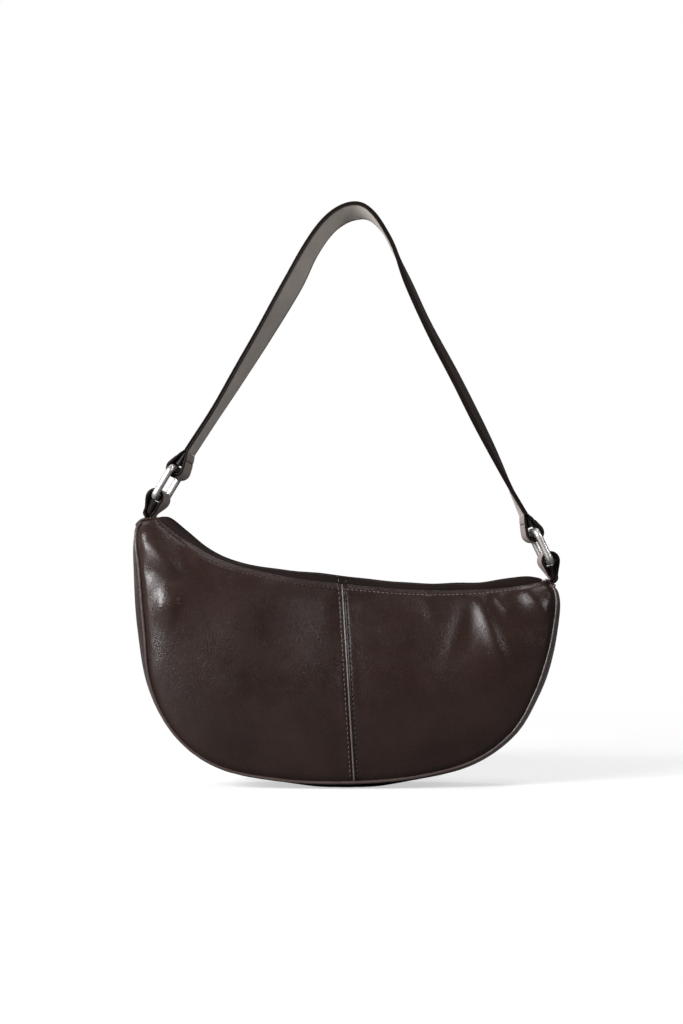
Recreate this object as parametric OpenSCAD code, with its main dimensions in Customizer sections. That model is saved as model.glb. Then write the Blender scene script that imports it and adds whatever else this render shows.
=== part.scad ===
// Half moon shoulder bag: a soft leather body with a zipped mouth, and a strap on two rings.
// Millimetres. X runs along the bag, the front faces -Y, Z is up and the base rests on z = 0.

/* [Body] */
// Width of the bag over its bulging ends
body_w = 300; // [220:5:420]
// Height of the raised left corner above the base
corner_h = 188; // [140:2:260]
// Depth between the two gusset seams at the base
base_depth = 58; // [40:1:90]
// Depth between the two gusset seams at the corners
tip_depth = 26; // [24:1:36]
// Depth between the top edges of the two panels
mouth_depth = 34; // [30:1:50]
// How far a panel swells past a straight line from seam to mouth
panel_swell = 12; // [4:1:24]
// How far the gusset bulges past its seams
gusset_bulge = 7; // [5.5:0.5:10]
// Thickness of the body leather
leather = 1.4; // [1:0.1:2]
// Diameter of the piping in the gusset seams
piping_d = 2.2; // [1.6:0.1:3]

/* [Mouth] */
// Highest rise of the folded zip band above the panel edge
band_rise = 6.8; // [4:0.2:9]
// How far the zip band tucks down behind the panel
band_tuck = 3.5; // [2:0.5:6]
// Thickness of the zip band leather
band_leather = 1.2; // [0.8:0.1:1.6]
// Width of zip left open between the two bands
zip_gap = 10; // [9.6:0.2:14]
// Radius of the arc that the zip follows
zip_radius = 600; // [450:10:900]
// Place along X of the lowest point of the zip
zip_low_x = 57; // [30:1:80]
// Height of the zip tape at its lowest point
zip_low_z = 135.6; // [130:0.2:136]

/* [Zip] */
// Pitch of the teeth on one row
tooth_pitch = 2.8; // [2.4:0.1:4]
// Width of a tooth head along the row
tooth_head = 1.15; // [0.9:0.05:1.2]
// Length that a tooth head reaches past the middle of the zip
tooth_reach = 0.7; // [0.4:0.05:0.9]
// Height of the teeth above the tape
tooth_rise = 1.4; // [1:0.1:1.6]
// Thickness of the woven tape
tape_t = 0.6; // [0.4:0.1:0.8]
// Length of the slider
slider_l = 9.6; // [8:0.2:12]
// Thickness of the slider plates
slider_plate = 0.8; // [0.6:0.1:1]
// Length of the puller from its pivot to its tip
puller_l = 20; // [14:1:30]
// Thickness of the puller
puller_t = 1.2; // [0.9:0.1:1.4]

/* [Lining] */
// Thickness of the lining cloth
cloth = 0.5; // [0.3:0.1:1]

/* [Strap] */
// Height of the top of the strap above the base
strap_top = 410; // [330:5:520]
// Width of the strap
strap_w = 20; // [14:1:26]
// Thickness of one leather layer of the strap
strap_layer = 1.4; // [1:0.1:2]
// Thickness of the leather folded round the rings
ply = 2.6; // [2:0.1:3]
// Radius of the eye that a ring bar lies in
eye_r = 4.2; // [3.8:0.1:6]
// Length of a strap end from its eye to the strap
strap_end_l = 14; // [12.5:0.5:20]

/* [Rings] */
// Diameter of the ring bar
bar_d = 5; // [3:0.1:5.6]
// Distance between the two long bars of a ring, centre to centre
ring_l = 23.6; // [21:0.2:30]
// Radius of the ring corners at the middle of the bar
ring_corner = 3.8; // [3:0.1:6]

/* [Tabs] */
// Width of the tab at its narrow neck
tab_neck_w = 5.5; // [5:0.5:9]
// Length from the neck to the eye of the left tab
tab_left_l = 10.6; // [9:0.2:16]
// Length from the neck to the eye of the right tab
tab_right_l = 11.8; // [9:0.2:18]

/* [Hidden] */

// Clearances
soft_gap = 0.3;
metal_gap = 0.2;
eye_gap = 0.6;
over = 1;

// Colours
leather_colour = [0.22, 0.16, 0.15];
edge_colour = [0.30, 0.23, 0.21];
cloth_colour = [0.34, 0.29, 0.26];
tape_colour = [0.13, 0.10, 0.10];
zip_colour = [0.62, 0.58, 0.50];
ring_colour = [0.66, 0.66, 0.65];

half_w = body_w / 2;
piping_r = piping_d / 2;
bar_r = bar_d / 2;
strap_t = 2 * strap_layer + metal_gap;

// Front view of the gusset seam, from the left corner round the base to the right corner,
// in shares of half the width and of the corner height; the first and the last point are where
// the gusset reaches past the panels and meets the zip bands
seam_shares = [
    [-0.885, 0.994], [-0.964, 0.981], [-0.984, 0.925], [-0.967, 0.809], [-0.942, 0.596], [-0.911, 0.383],
    [-0.800, 0.205], [-0.600, 0.084], [-0.300, 0.033], [0.033, 0.025], [0.333, 0.047],
    [0.587, 0.104], [0.767, 0.210], [0.870, 0.351], [0.935, 0.500], [0.968, 0.638],
    [0.972, 0.715], [0.950, 0.750], [0.918, 0.764]
];

// Front view of the top edge of the panels, from corner to corner, in the same shares
top_shares = [
    [-0.885, 0.999], [-0.753, 0.918], [-0.560, 0.834], [-0.280, 0.780], [-0.023, 0.755],
    [0.253, 0.734], [0.500, 0.730], [0.735, 0.741], [0.912, 0.764]
];

// Rise of the zip band above that edge, in shares of its highest rise
rise_shares = [
    0.10, 1, 0.92, 0.57, 0.36, 0.46, 0.67, 0.78, 0.78,
    0.72, 0.68, 0.67, 0.70, 0.65, 0.83, 0.78, 0.26
];

// Bulge of the gusset along the seam, in shares of the full bulge
bulge_shares = [
    0.16, 0.34, 0.72, 0.92, 0.60, 0.36, 0.18, 0.46, 1, 0.62,
    0.62, 0.75, 0.78, 0.72, 0.62, 0.45, 0.16
];

// Section of the zip band, in shares of the way out from zip to panel and of a rise: first up
// from the panel edge to the ridge, then down from the ridge to the zip tape
band_up_shares = [[1, 0.30], [0.88, 0.85]];
band_down_shares = [[0.70, 1], [0.52, 0.80], [0.34, 0.28], [0.20, 0], [0, 0]];

// Middle line of the strap between its two ends, in shares of half the width and of the way up
// from the corner of the bag to the top of the strap
strap_shares = [
    [-0.631, 0.319], [-0.522, 0.437], [-0.385, 0.590], [-0.256, 0.740], [-0.176, 0.844],
    [-0.097, 0.920], [-0.022, 0.961], [0.050, 0.974], [0.115, 0.958], [0.174, 0.912],
    [0.224, 0.847], [0.287, 0.746], [0.373, 0.618], [0.514, 0.437], [0.674, 0.222]
];

// Twist of the strap along that line, in degrees; positive shows the inner face to the front
strap_twist = [15, 15, 22, 31, 38, 31, 30, 32, 28, 10, 0, -1, -12, -14, -18, -15, 7];

// Place of each tab's neck along the gusset, and the stretch of gusset under each tab's foot
tab_neck_u_shares = [-0.035, 1.012];
tab_foot_shares = [[-0.055, 0.02], [0.975, 1.04]];

// Lean of each tab and ring from upright, and the turn of each ring about its own length
tab_lean = [29.4, -16];
ring_lean = [31, -25.5];
ring_turn = [14, -6];

// Where each eye's middle lies from its ring bar: direction in degrees from +X, towards +Z
tab_eye_angle = [190, 60];
strap_eye_angle = [0, 245];

// Rows of facets along and across the soft pieces
panel_cols = 12;
panel_rows = 10;
gusset_cols = 48;
gusset_rows = 8;
band_cols = 32;
lining_cols = 16;
lining_rows = 10;
pocket_cols = 8;
pocket_rows = 6;
piping_rings = 56;
piping_sides = 6;
strap_rings = 44;

// Curves through points

function lerp(a, b, t) = a + (b - a) * t;
function unit(v) = v / norm(v);
function spline_bit(a, b, c, d, t) =
    0.5 * (2 * b + (c - a) * t + (2 * a - 5 * b + 4 * c - d) * t * t
        + (3 * b - a - 3 * c + d) * t * t * t);
function spline(p, t) =
    let (n = len(p) - 1, s = min(max(t, 0), 1) * n, i = min(floor(s), n - 1))
    spline_bit(p[max(i - 1, 0)], p[i], p[i + 1], p[min(i + 2, n)], s - i);
function scaled(shares, w, h) = [for (s = shares) [s[0] * w, s[1] * h]];

seam_points = scaled(seam_shares, half_w, corner_h);
top_points = scaled(top_shares, half_w, corner_h);
arch_points = [for (s = strap_shares) [s[0] * half_w, lerp(corner_h, strap_top, s[1])]];

// Forms of the body: u runs from the left corner to the right corner, v from seam to mouth

nib = 0.01;
corner_share = 1 / (len(seam_shares) - 3);
function seam(u) = spline(seam_points, (u + corner_share) / (1 + 2 * corner_share));
function along(u) = unit(seam(u + nib) - seam(u - nib));
function inward(u) = let (t = along(u)) [-t[1], t[0]];
function top_edge(u) = spline(top_points, u);
function arch(u, power) = pow(max(sin(180 * u), 0), power);
function gusset_half(u) = lerp(tip_depth, base_depth, arch(u, 0.7)) / 2;
function mouth_half(u) = lerp(tip_depth - 2 * soft_gap, mouth_depth, arch(u, 0.6)) / 2;
function belly(v) = sin(180 * pow(v, 0.85));
function panel_depth(u, v) =
    lerp(gusset_half(u), mouth_half(u), v) + panel_swell * arch(u, 0.8) * belly(v);
function bulge(u) = gusset_bulge * spline(bulge_shares, u);
function zip_z(x) = zip_low_z + zip_radius - sqrt(pow(zip_radius, 2) - pow(x - zip_low_x, 2));

// Solid between two grids of points, outer[i][j] and inner[i][j], with its four edges closed.
// Rows i run left to right and columns j upwards, as seen from the outer side.
module sheet(outer, inner) {
    m = len(outer);
    n = len(outer[0]);
    k = m * n;
    points = concat([for (row = outer) each row], [for (row = inner) each row]);
    faces = concat(
        [for (i = [0:m - 2], j = [0:n - 2]) [i * n + j, i * n + j + 1, i * n + n + j + 1]],
        [for (i = [0:m - 2], j = [0:n - 2]) [i * n + j, i * n + n + j + 1, i * n + n + j]],
        [for (i = [0:m - 2], j = [0:n - 2]) [k + i * n + j, k + i * n + n + j + 1, k + i * n + j + 1]],
        [for (i = [0:m - 2], j = [0:n - 2]) [k + i * n + j, k + i * n + n + j, k + i * n + n + j + 1]],
        [for (j = [0:n - 2]) each [[j, k + j, k + j + 1], [j, k + j + 1, j + 1]]],
        [for (j = [0:n - 2], e = (m - 1) * n)
            each [[e + j, k + e + j + 1, k + e + j], [e + j, e + j + 1, k + e + j + 1]]],
        [for (i = [0:m - 2]) each [[i * n, k + i * n + n, k + i * n], [i * n, i * n + n, k + i * n + n]]],
        [for (i = [0:m - 2], e = n - 1)
            each [[i * n + e, k + i * n + e, k + i * n + n + e], [i * n + e, k + i * n + n + e, i * n + n + e]]]
    );
    polyhedron(points, faces, convexity = 6);
}

// Solid through a row of closed rings of points, with flat ends; each side is split along one
// diagonal or, where it lies against another tube's side, along the other
module tube(rings, other = false) {
    m = len(rings);
    n = len(rings[0]);
    sides = [for (i = [0:m - 2], j = [0:n - 1])
        let (a = i * n + j, b = i * n + (j + 1) % n)
            each other ? [[a, b, b + n], [a, b + n, a + n]] : [[a, b, a + n], [b, b + n, a + n]]];
    ends = [[for (j = [n - 1:-1:0]) j], [for (j = [0:n - 1]) (m - 1) * n + j]];
    polyhedron([for (ring = rings) each ring], concat(sides, ends), convexity = 6);
}

function steps(a, b, n) = [for (i = [0:n]) lerp(a, b, i / n)];
function at_depth(p, depth) = [p[0], -depth, p[1]];

// Panels and their lining

seam_room = piping_r + soft_gap;

function panel_point(u, v, room, drop, inset) =
    let (
        end = top_edge(u),
        low = seam(u) + inward(u) * room,
        high = end + unit(seam(u) - end) * drop,
        share = 1 - drop / max(norm(end - seam(u)), drop + soft_gap)
    )
    at_depth(lerp(low, high, v), panel_depth(u, v * share) - inset);

module front_skin(u0, u1, v0, v1, cols, rows, room, drop, inset, t) {
    us = steps(u0, u1, cols);
    vs = steps(v0, v1, rows);
    sheet(
        [for (u = us) [for (v = vs) panel_point(u, v, room, drop, inset)]],
        [for (u = us) [for (v = vs) panel_point(u, v, room, drop, inset + t)]]
    );
}

centre_gap_share = soft_gap / body_w;
module panel_half(u0, u1) {
    color(leather_colour)
        front_skin(u0, u1, 0, 1, panel_cols, panel_rows, seam_room, 0, 0, leather);
}

module front_panel_left() { panel_half(0, 0.5 - centre_gap_share); }
module front_panel_right() { panel_half(0.5 + centre_gap_share, 1); }
module back_panel_left() { mirror([0, 1, 0]) front_panel_left(); }
module back_panel_right() { mirror([0, 1, 0]) front_panel_right(); }

lining_ends_share = 0.0625;
lining_room = seam_room + leather + soft_gap;
lining_drop = band_tuck + 2 * band_leather;
lining_inset = leather + 1.5 * soft_gap;

module lining_front() {
    color(cloth_colour)
        front_skin(lining_ends_share, 1 - lining_ends_share, 0, 1, lining_cols, lining_rows,
            lining_room, lining_drop, lining_inset, cloth);
}
module lining_back() { mirror([0, 1, 0]) lining_front(); }

// Patch pocket, open at its top, on the back lining
pocket_u_shares = [0.36, 0.62];
pocket_v_shares = [0.30, 0.86];
module slip_pocket() {
    color(cloth_colour)
        mirror([0, 1, 0])
            front_skin(pocket_u_shares[0], pocket_u_shares[1], pocket_v_shares[0], pocket_v_shares[1],
                pocket_cols, pocket_rows, lining_room, lining_drop, lining_inset + cloth + 2 * soft_gap, cloth);
}

// Gusset, its piping and its lining

gusset_room = soft_gap + piping_d + soft_gap;

function gusset_point(u, w, out, half) =
    let (p = seam(u) - inward(u) * (bulge(u) * (1 - w * w) + out))
    [p[0], w * half, max(p[1], -out)];

module gusset_skin(u0, u1, cols, rows, room, out, t) {
    us = steps(u0, u1, cols);
    ws = steps(-1, 1, rows);
    sheet(
        [for (u = us) [for (w = ws) gusset_point(u, -w, out, gusset_half(u) - room)]],
        [for (u = us) [for (w = ws) gusset_point(u, -w, out - t, gusset_half(u) - room)]]
    );
}

module gusset() {
    color(leather_colour)
        gusset_skin(-corner_share, 1 + corner_share, gusset_cols * (1 + 2 * corner_share), gusset_rows,
            gusset_room, 0, leather);
}

lining_gusset_room = gusset_room + leather;
module lining_gusset() {
    color(cloth_colour)
        gusset_skin(lining_ends_share, 1 - lining_ends_share, gusset_cols * (1 - 2 * lining_ends_share),
            gusset_rows - 2, lining_gusset_room, -leather - soft_gap, cloth);
}

module piping() {
    turns = [for (j = [0:piping_sides - 1]) 360 * j / piping_sides];
    color(edge_colour)
        tube([for (u = steps(0, 1, piping_rings))
            let (c = seam(u), n = inward(u), y = piping_r + soft_gap - gusset_half(u))
            [for (a = turns)
                [c[0] + piping_r * cos(a) * n[0], y + piping_r * sin(a), c[1] + piping_r * cos(a) * n[1]]]]);
}
module front_piping() { piping(); }
module back_piping() { mirror([0, 1, 0]) piping(); }

// Zip bands: each is tucked behind its panel, folded over the ridge and laid on the zip tape

valley_depth = 8.6;
zip_edge = zip_gap / 2;
function ridge_z(u) = top_edge(u)[1] + band_rise * spline(rise_shares, u);
function valley_z(u) = max(zip_z(top_edge(u)[0]), ridge_z(u) - valley_depth);

function band_line(u) =
    let (
        foot = mouth_half(u) - leather - soft_gap,
        edge = top_edge(u)[1],
        ridge = ridge_z(u),
        laid = valley_z(u) + band_leather + soft_gap
    )
    concat(
        [[foot, edge - band_tuck]],
        [for (s = band_up_shares) [lerp(zip_edge, foot, s[0]), lerp(edge, ridge, s[1])]],
        [for (s = band_down_shares) [lerp(zip_edge, foot, s[0]), lerp(laid, ridge, s[1])]]
    );
function side_of(line, j) =
    let (t = unit(line[min(j + 1, len(line) - 1)] - line[max(j - 1, 0)])) [t[1], -t[0]];
function placed(line, x) = [for (q = line) [x, -q[0], q[1]]];
function thinned(line, t) = [for (j = [0:len(line) - 1]) line[j] - side_of(line, j) * t];

module zip_band() {
    us = steps(nib, 1 - nib, band_cols);
    color(leather_colour)
        sheet(
            [for (u = us) placed(band_line(u), top_edge(u)[0])],
            [for (u = us) placed(thinned(band_line(u), band_leather), top_edge(u)[0])]
        );
}
module zip_band_front() { zip_band(); }
module zip_band_back() { mirror([0, 1, 0]) zip_band(); }

// Leather covers that close the mouth beyond the two ends of the zip
zip_left_x = -0.587 * half_w;
zip_right_x = 0.787 * half_w;
cover_half = zip_edge - soft_gap;
cover_cols = 10;

function top_u(x, a, b, n) =
    n == 0 ? (a + b) / 2
        : top_edge((a + b) / 2)[0] < x ? top_u(x, (a + b) / 2, b, n - 1) : top_u(x, a, (a + b) / 2, n - 1);

module zip_cover(u0, u1) {
    us = steps(u0, u1, cover_cols);
    function cover_point(u, y, drop) =
        [top_edge(u)[0], y, valley_z(u) + band_leather + soft_gap - drop];
    color(leather_colour)
        sheet(
            [for (u = us) [cover_point(u, -cover_half, 0), cover_point(u, cover_half, 0)]],
            [for (u = us) [cover_point(u, -cover_half, band_leather), cover_point(u, cover_half, band_leather)]]
        );
}
module zip_end_left() { zip_cover(nib, top_u(zip_left_x, 0, 1, 16)); }
module zip_end_right() { zip_cover(top_u(zip_right_x, 0, 1, 16), 1 - nib); }

// Zip chain on its arc

function zip_angle(x) = asin((x - zip_low_x) / zip_radius);
module on_zip(x) {
    translate([zip_low_x, 0, zip_low_z + zip_radius])
        rotate([0, -zip_angle(x), 0])
            translate([0, 0, -zip_radius])
                children();
}
// Sweeps a flat outline, x down from the arc and y towards the front, from place x0 to place x1
module along_zip(x0, x1) {
    translate([zip_low_x, 0, zip_low_z + zip_radius])
        rotate([90, 0, 0])
            rotate([0, 0, zip_angle(x0) - 90])
                rotate_extrude(angle = zip_angle(x1) - zip_angle(x0), $fn = 180)
                    translate([zip_radius, 0])
                        children();
}

tooth_base = 1.6;
tooth_root = 3;
tooth_neck = 1.5;
tooth_drop = 0.8;
tape_edge = tooth_root + metal_gap / 2;
tape_w = 8;

module zip_tape() {
    color(tape_colour)
        along_zip(zip_left_x - tape_w / 2, zip_right_x + tape_w / 4)
            translate([0, tape_edge])
                square([tape_t, tape_w - tape_edge + tooth_root]);
}
module zip_tape_front() { zip_tape(); }
module zip_tape_back() { mirror([0, 1, 0]) zip_tape(); }

slider_x = zip_right_x - slider_l;
wedge_l = 0.3 * slider_l;
teeth_end = slider_x + slider_l / 2 - wedge_l - 2 * metal_gap;
stop_l = 2;
stop_w = 1.5;
staple_x = zip_left_x + soft_gap + stop_l / 2;
teeth_start = staple_x + stop_l / 2 + tooth_base / 2 + metal_gap;
tooth_count = floor((teeth_end - teeth_start) / tooth_pitch);

module tooth() {
    translate([0, 0, -tape_t - metal_gap / 2 - tooth_drop / 2])
        linear_extrude(tooth_rise + tape_t + metal_gap / 2 + tooth_drop / 2)
            polygon([
                [-tooth_base / 2, -tooth_root], [tooth_base / 2, -tooth_root],
                [tooth_base / 2, -tooth_neck], [tooth_head / 2, -tooth_neck + tooth_base / 4],
                [tooth_head / 2, tooth_reach - tooth_head / 4], [tooth_head / 4, tooth_reach],
                [-tooth_head / 4, tooth_reach], [-tooth_head / 2, tooth_reach - tooth_head / 4],
                [-tooth_head / 2, -tooth_neck + tooth_base / 4], [-tooth_base / 2, -tooth_neck]
            ]);
}
module zip_teeth_front() {
    color(zip_colour)
        for (i = [0:tooth_count - 1])
            on_zip(teeth_end - tooth_base / 2 - i * tooth_pitch)
                tooth();
}
module zip_teeth_back() {
    color(zip_colour)
        for (i = [0:tooth_count - 1])
            on_zip(teeth_end - tooth_base / 2 - (i + 0.5) * tooth_pitch)
                mirror([0, 1, 0])
                    tooth();
}

// Slider: two plates joined by a wedge, flanges that hold the rows, and a bridge for the puller
plate_low = -tape_t - metal_gap / 2 - tooth_drop / 2 - metal_gap;
plate_high = tooth_rise + metal_gap;
flange_in = tooth_root + metal_gap;
slider_half = zip_edge - 3.5 * metal_gap;
flange_t = slider_half - flange_in;
flange_l = 0.75 * slider_l;
pivot_z = plate_high + slider_plate + metal_gap + puller_t / 2;
bridge_l = puller_t + 3 * metal_gap;
bridge_t = 0.8;
bridge_w = 2;

module slider_plate_outline() {
    polygon([
        [-slider_l / 2, -slider_half], [slider_l / 4, -slider_half], [slider_l / 2, -flange_in],
        [slider_l / 2, flange_in], [slider_l / 4, slider_half], [-slider_l / 2, slider_half]
    ]);
}
module zip_slider() {
    color(zip_colour)
        on_zip(slider_x) {
            translate([0, 0, plate_high])
                linear_extrude(slider_plate)
                    slider_plate_outline();
            translate([0, 0, plate_low - slider_plate])
                linear_extrude(slider_plate)
                    slider_plate_outline();
            translate([slider_l / 2 - wedge_l, 0, plate_low - slider_plate / 2])
                linear_extrude(plate_high - plate_low + slider_plate)
                    polygon([[0, 0], [wedge_l, -tooth_neck], [wedge_l, tooth_neck]]);
            for (side = [-1, 1]) {
                translate([-slider_l / 2, side * (flange_in + flange_t / 2) - flange_t / 2, metal_gap])
                    cube([flange_l, flange_t, plate_high + slider_plate / 2 - metal_gap]);
                translate([-slider_l / 2, side * (flange_in + flange_t / 2) - flange_t / 2,
                    plate_low - slider_plate / 2])
                    cube([flange_l, flange_t, slider_plate / 2 - plate_low - tape_t - metal_gap]);
            }
            translate([0, bridge_w / 2, plate_high + slider_plate])
                rotate([90, 0, 0])
                    linear_extrude(bridge_w)
                        difference() {
                            translate([-bridge_l / 2 - bridge_t, -slider_plate / 2])
                                square([bridge_l + 2 * bridge_t,
                                    slider_plate / 2 + puller_t + 2 * metal_gap + bridge_t]);
                            translate([-bridge_l / 2, 0])
                                square([bridge_l, puller_t + 2 * metal_gap]);
                        }
        }
}

// Puller: a tapered tab with a window, whose cross bar lies under the bridge
puller_half = 3.4;
puller_flat_t = 0.75 * puller_t;
// Half of its outline, in shares of its length and half width
puller_shares = [[0, 0.80], [0.25, 0.80], [0.40, 0.55], [0.92, 1], [1, 0.70]];
puller_window_w = bridge_w + 3 * metal_gap;
puller_window_l = bridge_t + 5 * metal_gap;
module zip_puller() {
    color(zip_colour)
        on_zip(slider_x)
            translate([0, 0, pivot_z]) {
                translate([0, -puller_half * puller_shares[0][1], 0])
                    rotate([-90, 0, 0])
                        cylinder(d = puller_t, h = 2 * puller_half * puller_shares[0][1], $fn = 32);
                translate([0, 0, -puller_flat_t / 2])
                    linear_extrude(puller_flat_t)
                        difference() {
                            polygon(concat(
                                [for (s = puller_shares) [s[0] * puller_l, s[1] * puller_half]],
                                [for (i = [len(puller_shares) - 1:-1:0])
                                    [puller_shares[i][0] * puller_l, -puller_shares[i][1] * puller_half]]
                            ));
                            translate([puller_t / 2, -puller_window_w / 2])
                                square([puller_window_l, puller_window_w]);
                        }
            }
}

// Stops: a pair beyond the closed end of the slider and a staple across the start of the rows
module zip_stops() {
    color(zip_colour) {
        for (side = [-1, 1])
            on_zip(slider_x + slider_l / 2 + soft_gap + stop_l / 2)
                translate([-stop_l / 2, side * (tape_edge + stop_w / 2) - stop_w / 2, metal_gap / 2])
                    cube([stop_l, stop_w, tooth_rise]);
        on_zip(staple_x)
            translate([-stop_l / 2, -tape_edge - stop_w, metal_gap / 2])
                cube([stop_l, 2 * (tape_edge + stop_w), tooth_rise]);
    }
}

// Frames for the strap hardware: a runs up the piece, b along its bars, c across its face

function lean_dir(angle) = [sin(angle), 0, cos(angle)];
function face_of(a) = [a[2], 0, -a[0]];
function bar_dir(a, turn) = cos(turn) * [0, 1, 0] + sin(turn) * face_of(a);
function spot(p) = [p[0], 0, p[1]];
module in_frame(origin, a, turn) {
    b = bar_dir(a, turn);
    c = cross(b, a);
    multmatrix([
        [a[0], c[0], b[0], origin[0]],
        [a[1], c[1], b[1], origin[1]],
        [a[2], c[2], b[2], origin[2]],
        [0, 0, 0, 1]
    ])
        children();
}

tab_l = [tab_left_l, tab_right_l];
function foot_point(u, w, out) = gusset_point(u, w, out, gusset_half(u) - gusset_room);
function foot_normal(u) = spot(-inward(u));
necks = [for (u = tab_neck_u_shares)
    foot_point(u, 0, soft_gap + leather) + foot_normal(u) * (tab_neck_w / 2 + soft_gap)];
play = eye_r - bar_r - eye_gap;
function offset_dir(angle) = [cos(angle), 0, sin(angle)];
tab_eyes = [for (i = [0, 1]) necks[i] + lean_dir(tab_lean[i]) * tab_l[i]];
low_bars = [for (i = [0, 1]) tab_eyes[i] - offset_dir(tab_eye_angle[i]) * play];
high_bars = [for (i = [0, 1]) low_bars[i] + lean_dir(ring_lean[i]) * ring_l];
strap_eyes = [for (i = [0, 1]) high_bars[i] + offset_dir(strap_eye_angle[i]) * play];
arch_ends = [spot(arch_points[0]), spot(arch_points[len(arch_points) - 1])];
strap_feet = [for (i = [0, 1]) strap_eyes[i] + unit(arch_ends[i] - strap_eyes[i]) * strap_end_l];
strap_points = concat([strap_feet[0]], [for (p = arch_points) spot(p)], [strap_feet[1]]);

// Rings: rounded rectangles of round bar
ring_side_gap = 1.2;
ring_half = strap_w / 2 + ring_side_gap + bar_r;
module ring(i) {
    straight_l = ring_l - 2 * ring_corner;
    straight_w = 2 * (ring_half - ring_corner);
    color(ring_colour)
        in_frame((low_bars[i] + high_bars[i]) / 2, lean_dir(ring_lean[i]), ring_turn[i])
            rotate([90, 0, 0]) {
                for (side = [-1, 1]) {
                    translate([side * ring_l / 2, -straight_w / 2, 0])
                        rotate([-90, 0, 0])
                            cylinder(d = bar_d, h = straight_w, $fn = 48);
                    translate([-straight_l / 2, side * ring_half, 0])
                        rotate([0, 90, 0])
                            cylinder(d = bar_d, h = straight_l, $fn = 48);
                }
                for (k = [0:3])
                    translate([
                        (k == 0 || k == 3 ? 1 : -1) * straight_l / 2,
                        (k < 2 ? 1 : -1) * straight_w / 2,
                        0
                    ])
                        rotate([0, 0, 90 * k])
                            rotate_extrude(angle = 90, $fn = 48)
                                translate([ring_corner, 0])
                                    circle(d = bar_d, $fn = 48);
            }
}
module ring_left() { ring(0); }
module ring_right() { ring(1); }

// Outline of a round eye drawn out to a point at a distance
module drop_outline(r, reach) {
    turn = acos(r / reach);
    circle(r, $fn = 64);
    polygon([[0, 0], r * [cos(turn), -sin(turn)], [reach, 0], r * [cos(turn), sin(turn)]]);
}

// Strap ends: the inner ply folds round the ring bar and is sewn back under the strap
module strap_end(i) {
    reach = strap_end_l;
    a = unit(strap_feet[i] - strap_eyes[i]);
    side = i == 0 ? 1 : -1;
    outer_r = eye_r + ply;
    turn = acos(outer_r / (reach + outer_r));
    foot = reach - soft_gap;
    color(edge_colour)
        in_frame(strap_eyes[i], a, i == 0 ? strap_twist[0] : -strap_twist[len(strap_twist) - 1])
            translate([0, 0, -strap_w / 2])
                linear_extrude(strap_w)
                    difference() {
                        union() {
                            circle(outer_r, $fn = 64);
                            polygon([
                                [0, 0], outer_r * [cos(turn), -sin(turn)],
                                [foot, -(side > 0 ? strap_t / 2 : strap_t / 2 + ply / 2)],
                                [foot, side > 0 ? strap_t / 2 + ply / 2 : strap_t / 2],
                                outer_r * [cos(turn), sin(turn)]
                            ]);
                        }
                        drop_outline(eye_r, 2 * eye_r);
                    }
}
module strap_end_left() { strap_end(0); }
module strap_end_right() { strap_end(1); }

// Strap: two leather layers that follow the twisting arch
edge_cut = 0.5;
function strap_section(t, c0) = [
    [-strap_w / 2, c0 - t / 2 + edge_cut], [-strap_w / 2 + edge_cut, c0 - t / 2],
    [strap_w / 2 - edge_cut, c0 - t / 2], [strap_w / 2, c0 - t / 2 + edge_cut],
    [strap_w / 2, c0 + t / 2 - edge_cut], [strap_w / 2 - edge_cut, c0 + t / 2],
    [-strap_w / 2 + edge_cut, c0 + t / 2], [-strap_w / 2, c0 + t / 2 - edge_cut]
];
module strap_layer(c0, other) {
    section = strap_section(strap_layer, c0);
    color(leather_colour)
        tube([for (u = steps(0, 1, strap_rings))
            let (
                p = spline(strap_points, u),
                t = unit(spline(strap_points, min(u + nib, 1)) - spline(strap_points, max(u - nib, 0))),
                b = bar_dir(t, spline(strap_twist, u)),
                c = cross(b, t)
            )
            [for (q = section) p + b * q[0] + c * q[1]]], other);
}
module strap_outer() { strap_layer(-(strap_layer + metal_gap) / 2, false); }
module strap_inner() { strap_layer((strap_layer + metal_gap) / 2, true); }

// Tabs: the loop swings about its rounded neck, and its foot is sewn over the end of the gusset
module tab_side_outline(length) {
    outer_r = eye_r + ply;
    turn = acos(outer_r / (length + outer_r));
    difference() {
        union() {
            circle(outer_r, $fn = 64);
            polygon([
                [0, 0], outer_r * [cos(turn), -sin(turn)], [length, -0.8 * ply], [length, 0.8 * ply],
                outer_r * [cos(turn), sin(turn)]
            ]);
        }
        drop_outline(eye_r, 1.5 * eye_r);
    }
}
module tab_face_outline(length) {
    top = eye_r + ply + over;
    broad = strap_w / 2 - ply / 4;
    polygon([
        [-top, -broad], [0, -broad], [length - ply / 2, -tab_neck_w / 2],
        [length, -tab_neck_w / 2], [length, tab_neck_w / 2], [length - ply / 2, tab_neck_w / 2],
        [0, broad], [-top, broad]
    ]);
}
module tab_loop(i) {
    depth = eye_r + ply + over;
    color(edge_colour)
        in_frame(tab_eyes[i], lean_dir(tab_lean[i]), ring_turn[i])
            rotate([0, 0, 180]) {
                intersection() {
                    translate([0, 0, -strap_w / 2])
                        linear_extrude(strap_w)
                            tab_side_outline(tab_l[i]);
                    translate([0, depth, 0])
                        rotate([90, 0, 0])
                            linear_extrude(2 * depth)
                                tab_face_outline(tab_l[i]);
                }
                translate([tab_l[i], 0, 0])
                    sphere(d = tab_neck_w, $fn = 48);
            }
}
module tab_left_loop() { tab_loop(0); }
module tab_right_loop() { tab_loop(1); }

tab_foot_half_share = 0.72;
tab_foot_steps = 6;

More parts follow.
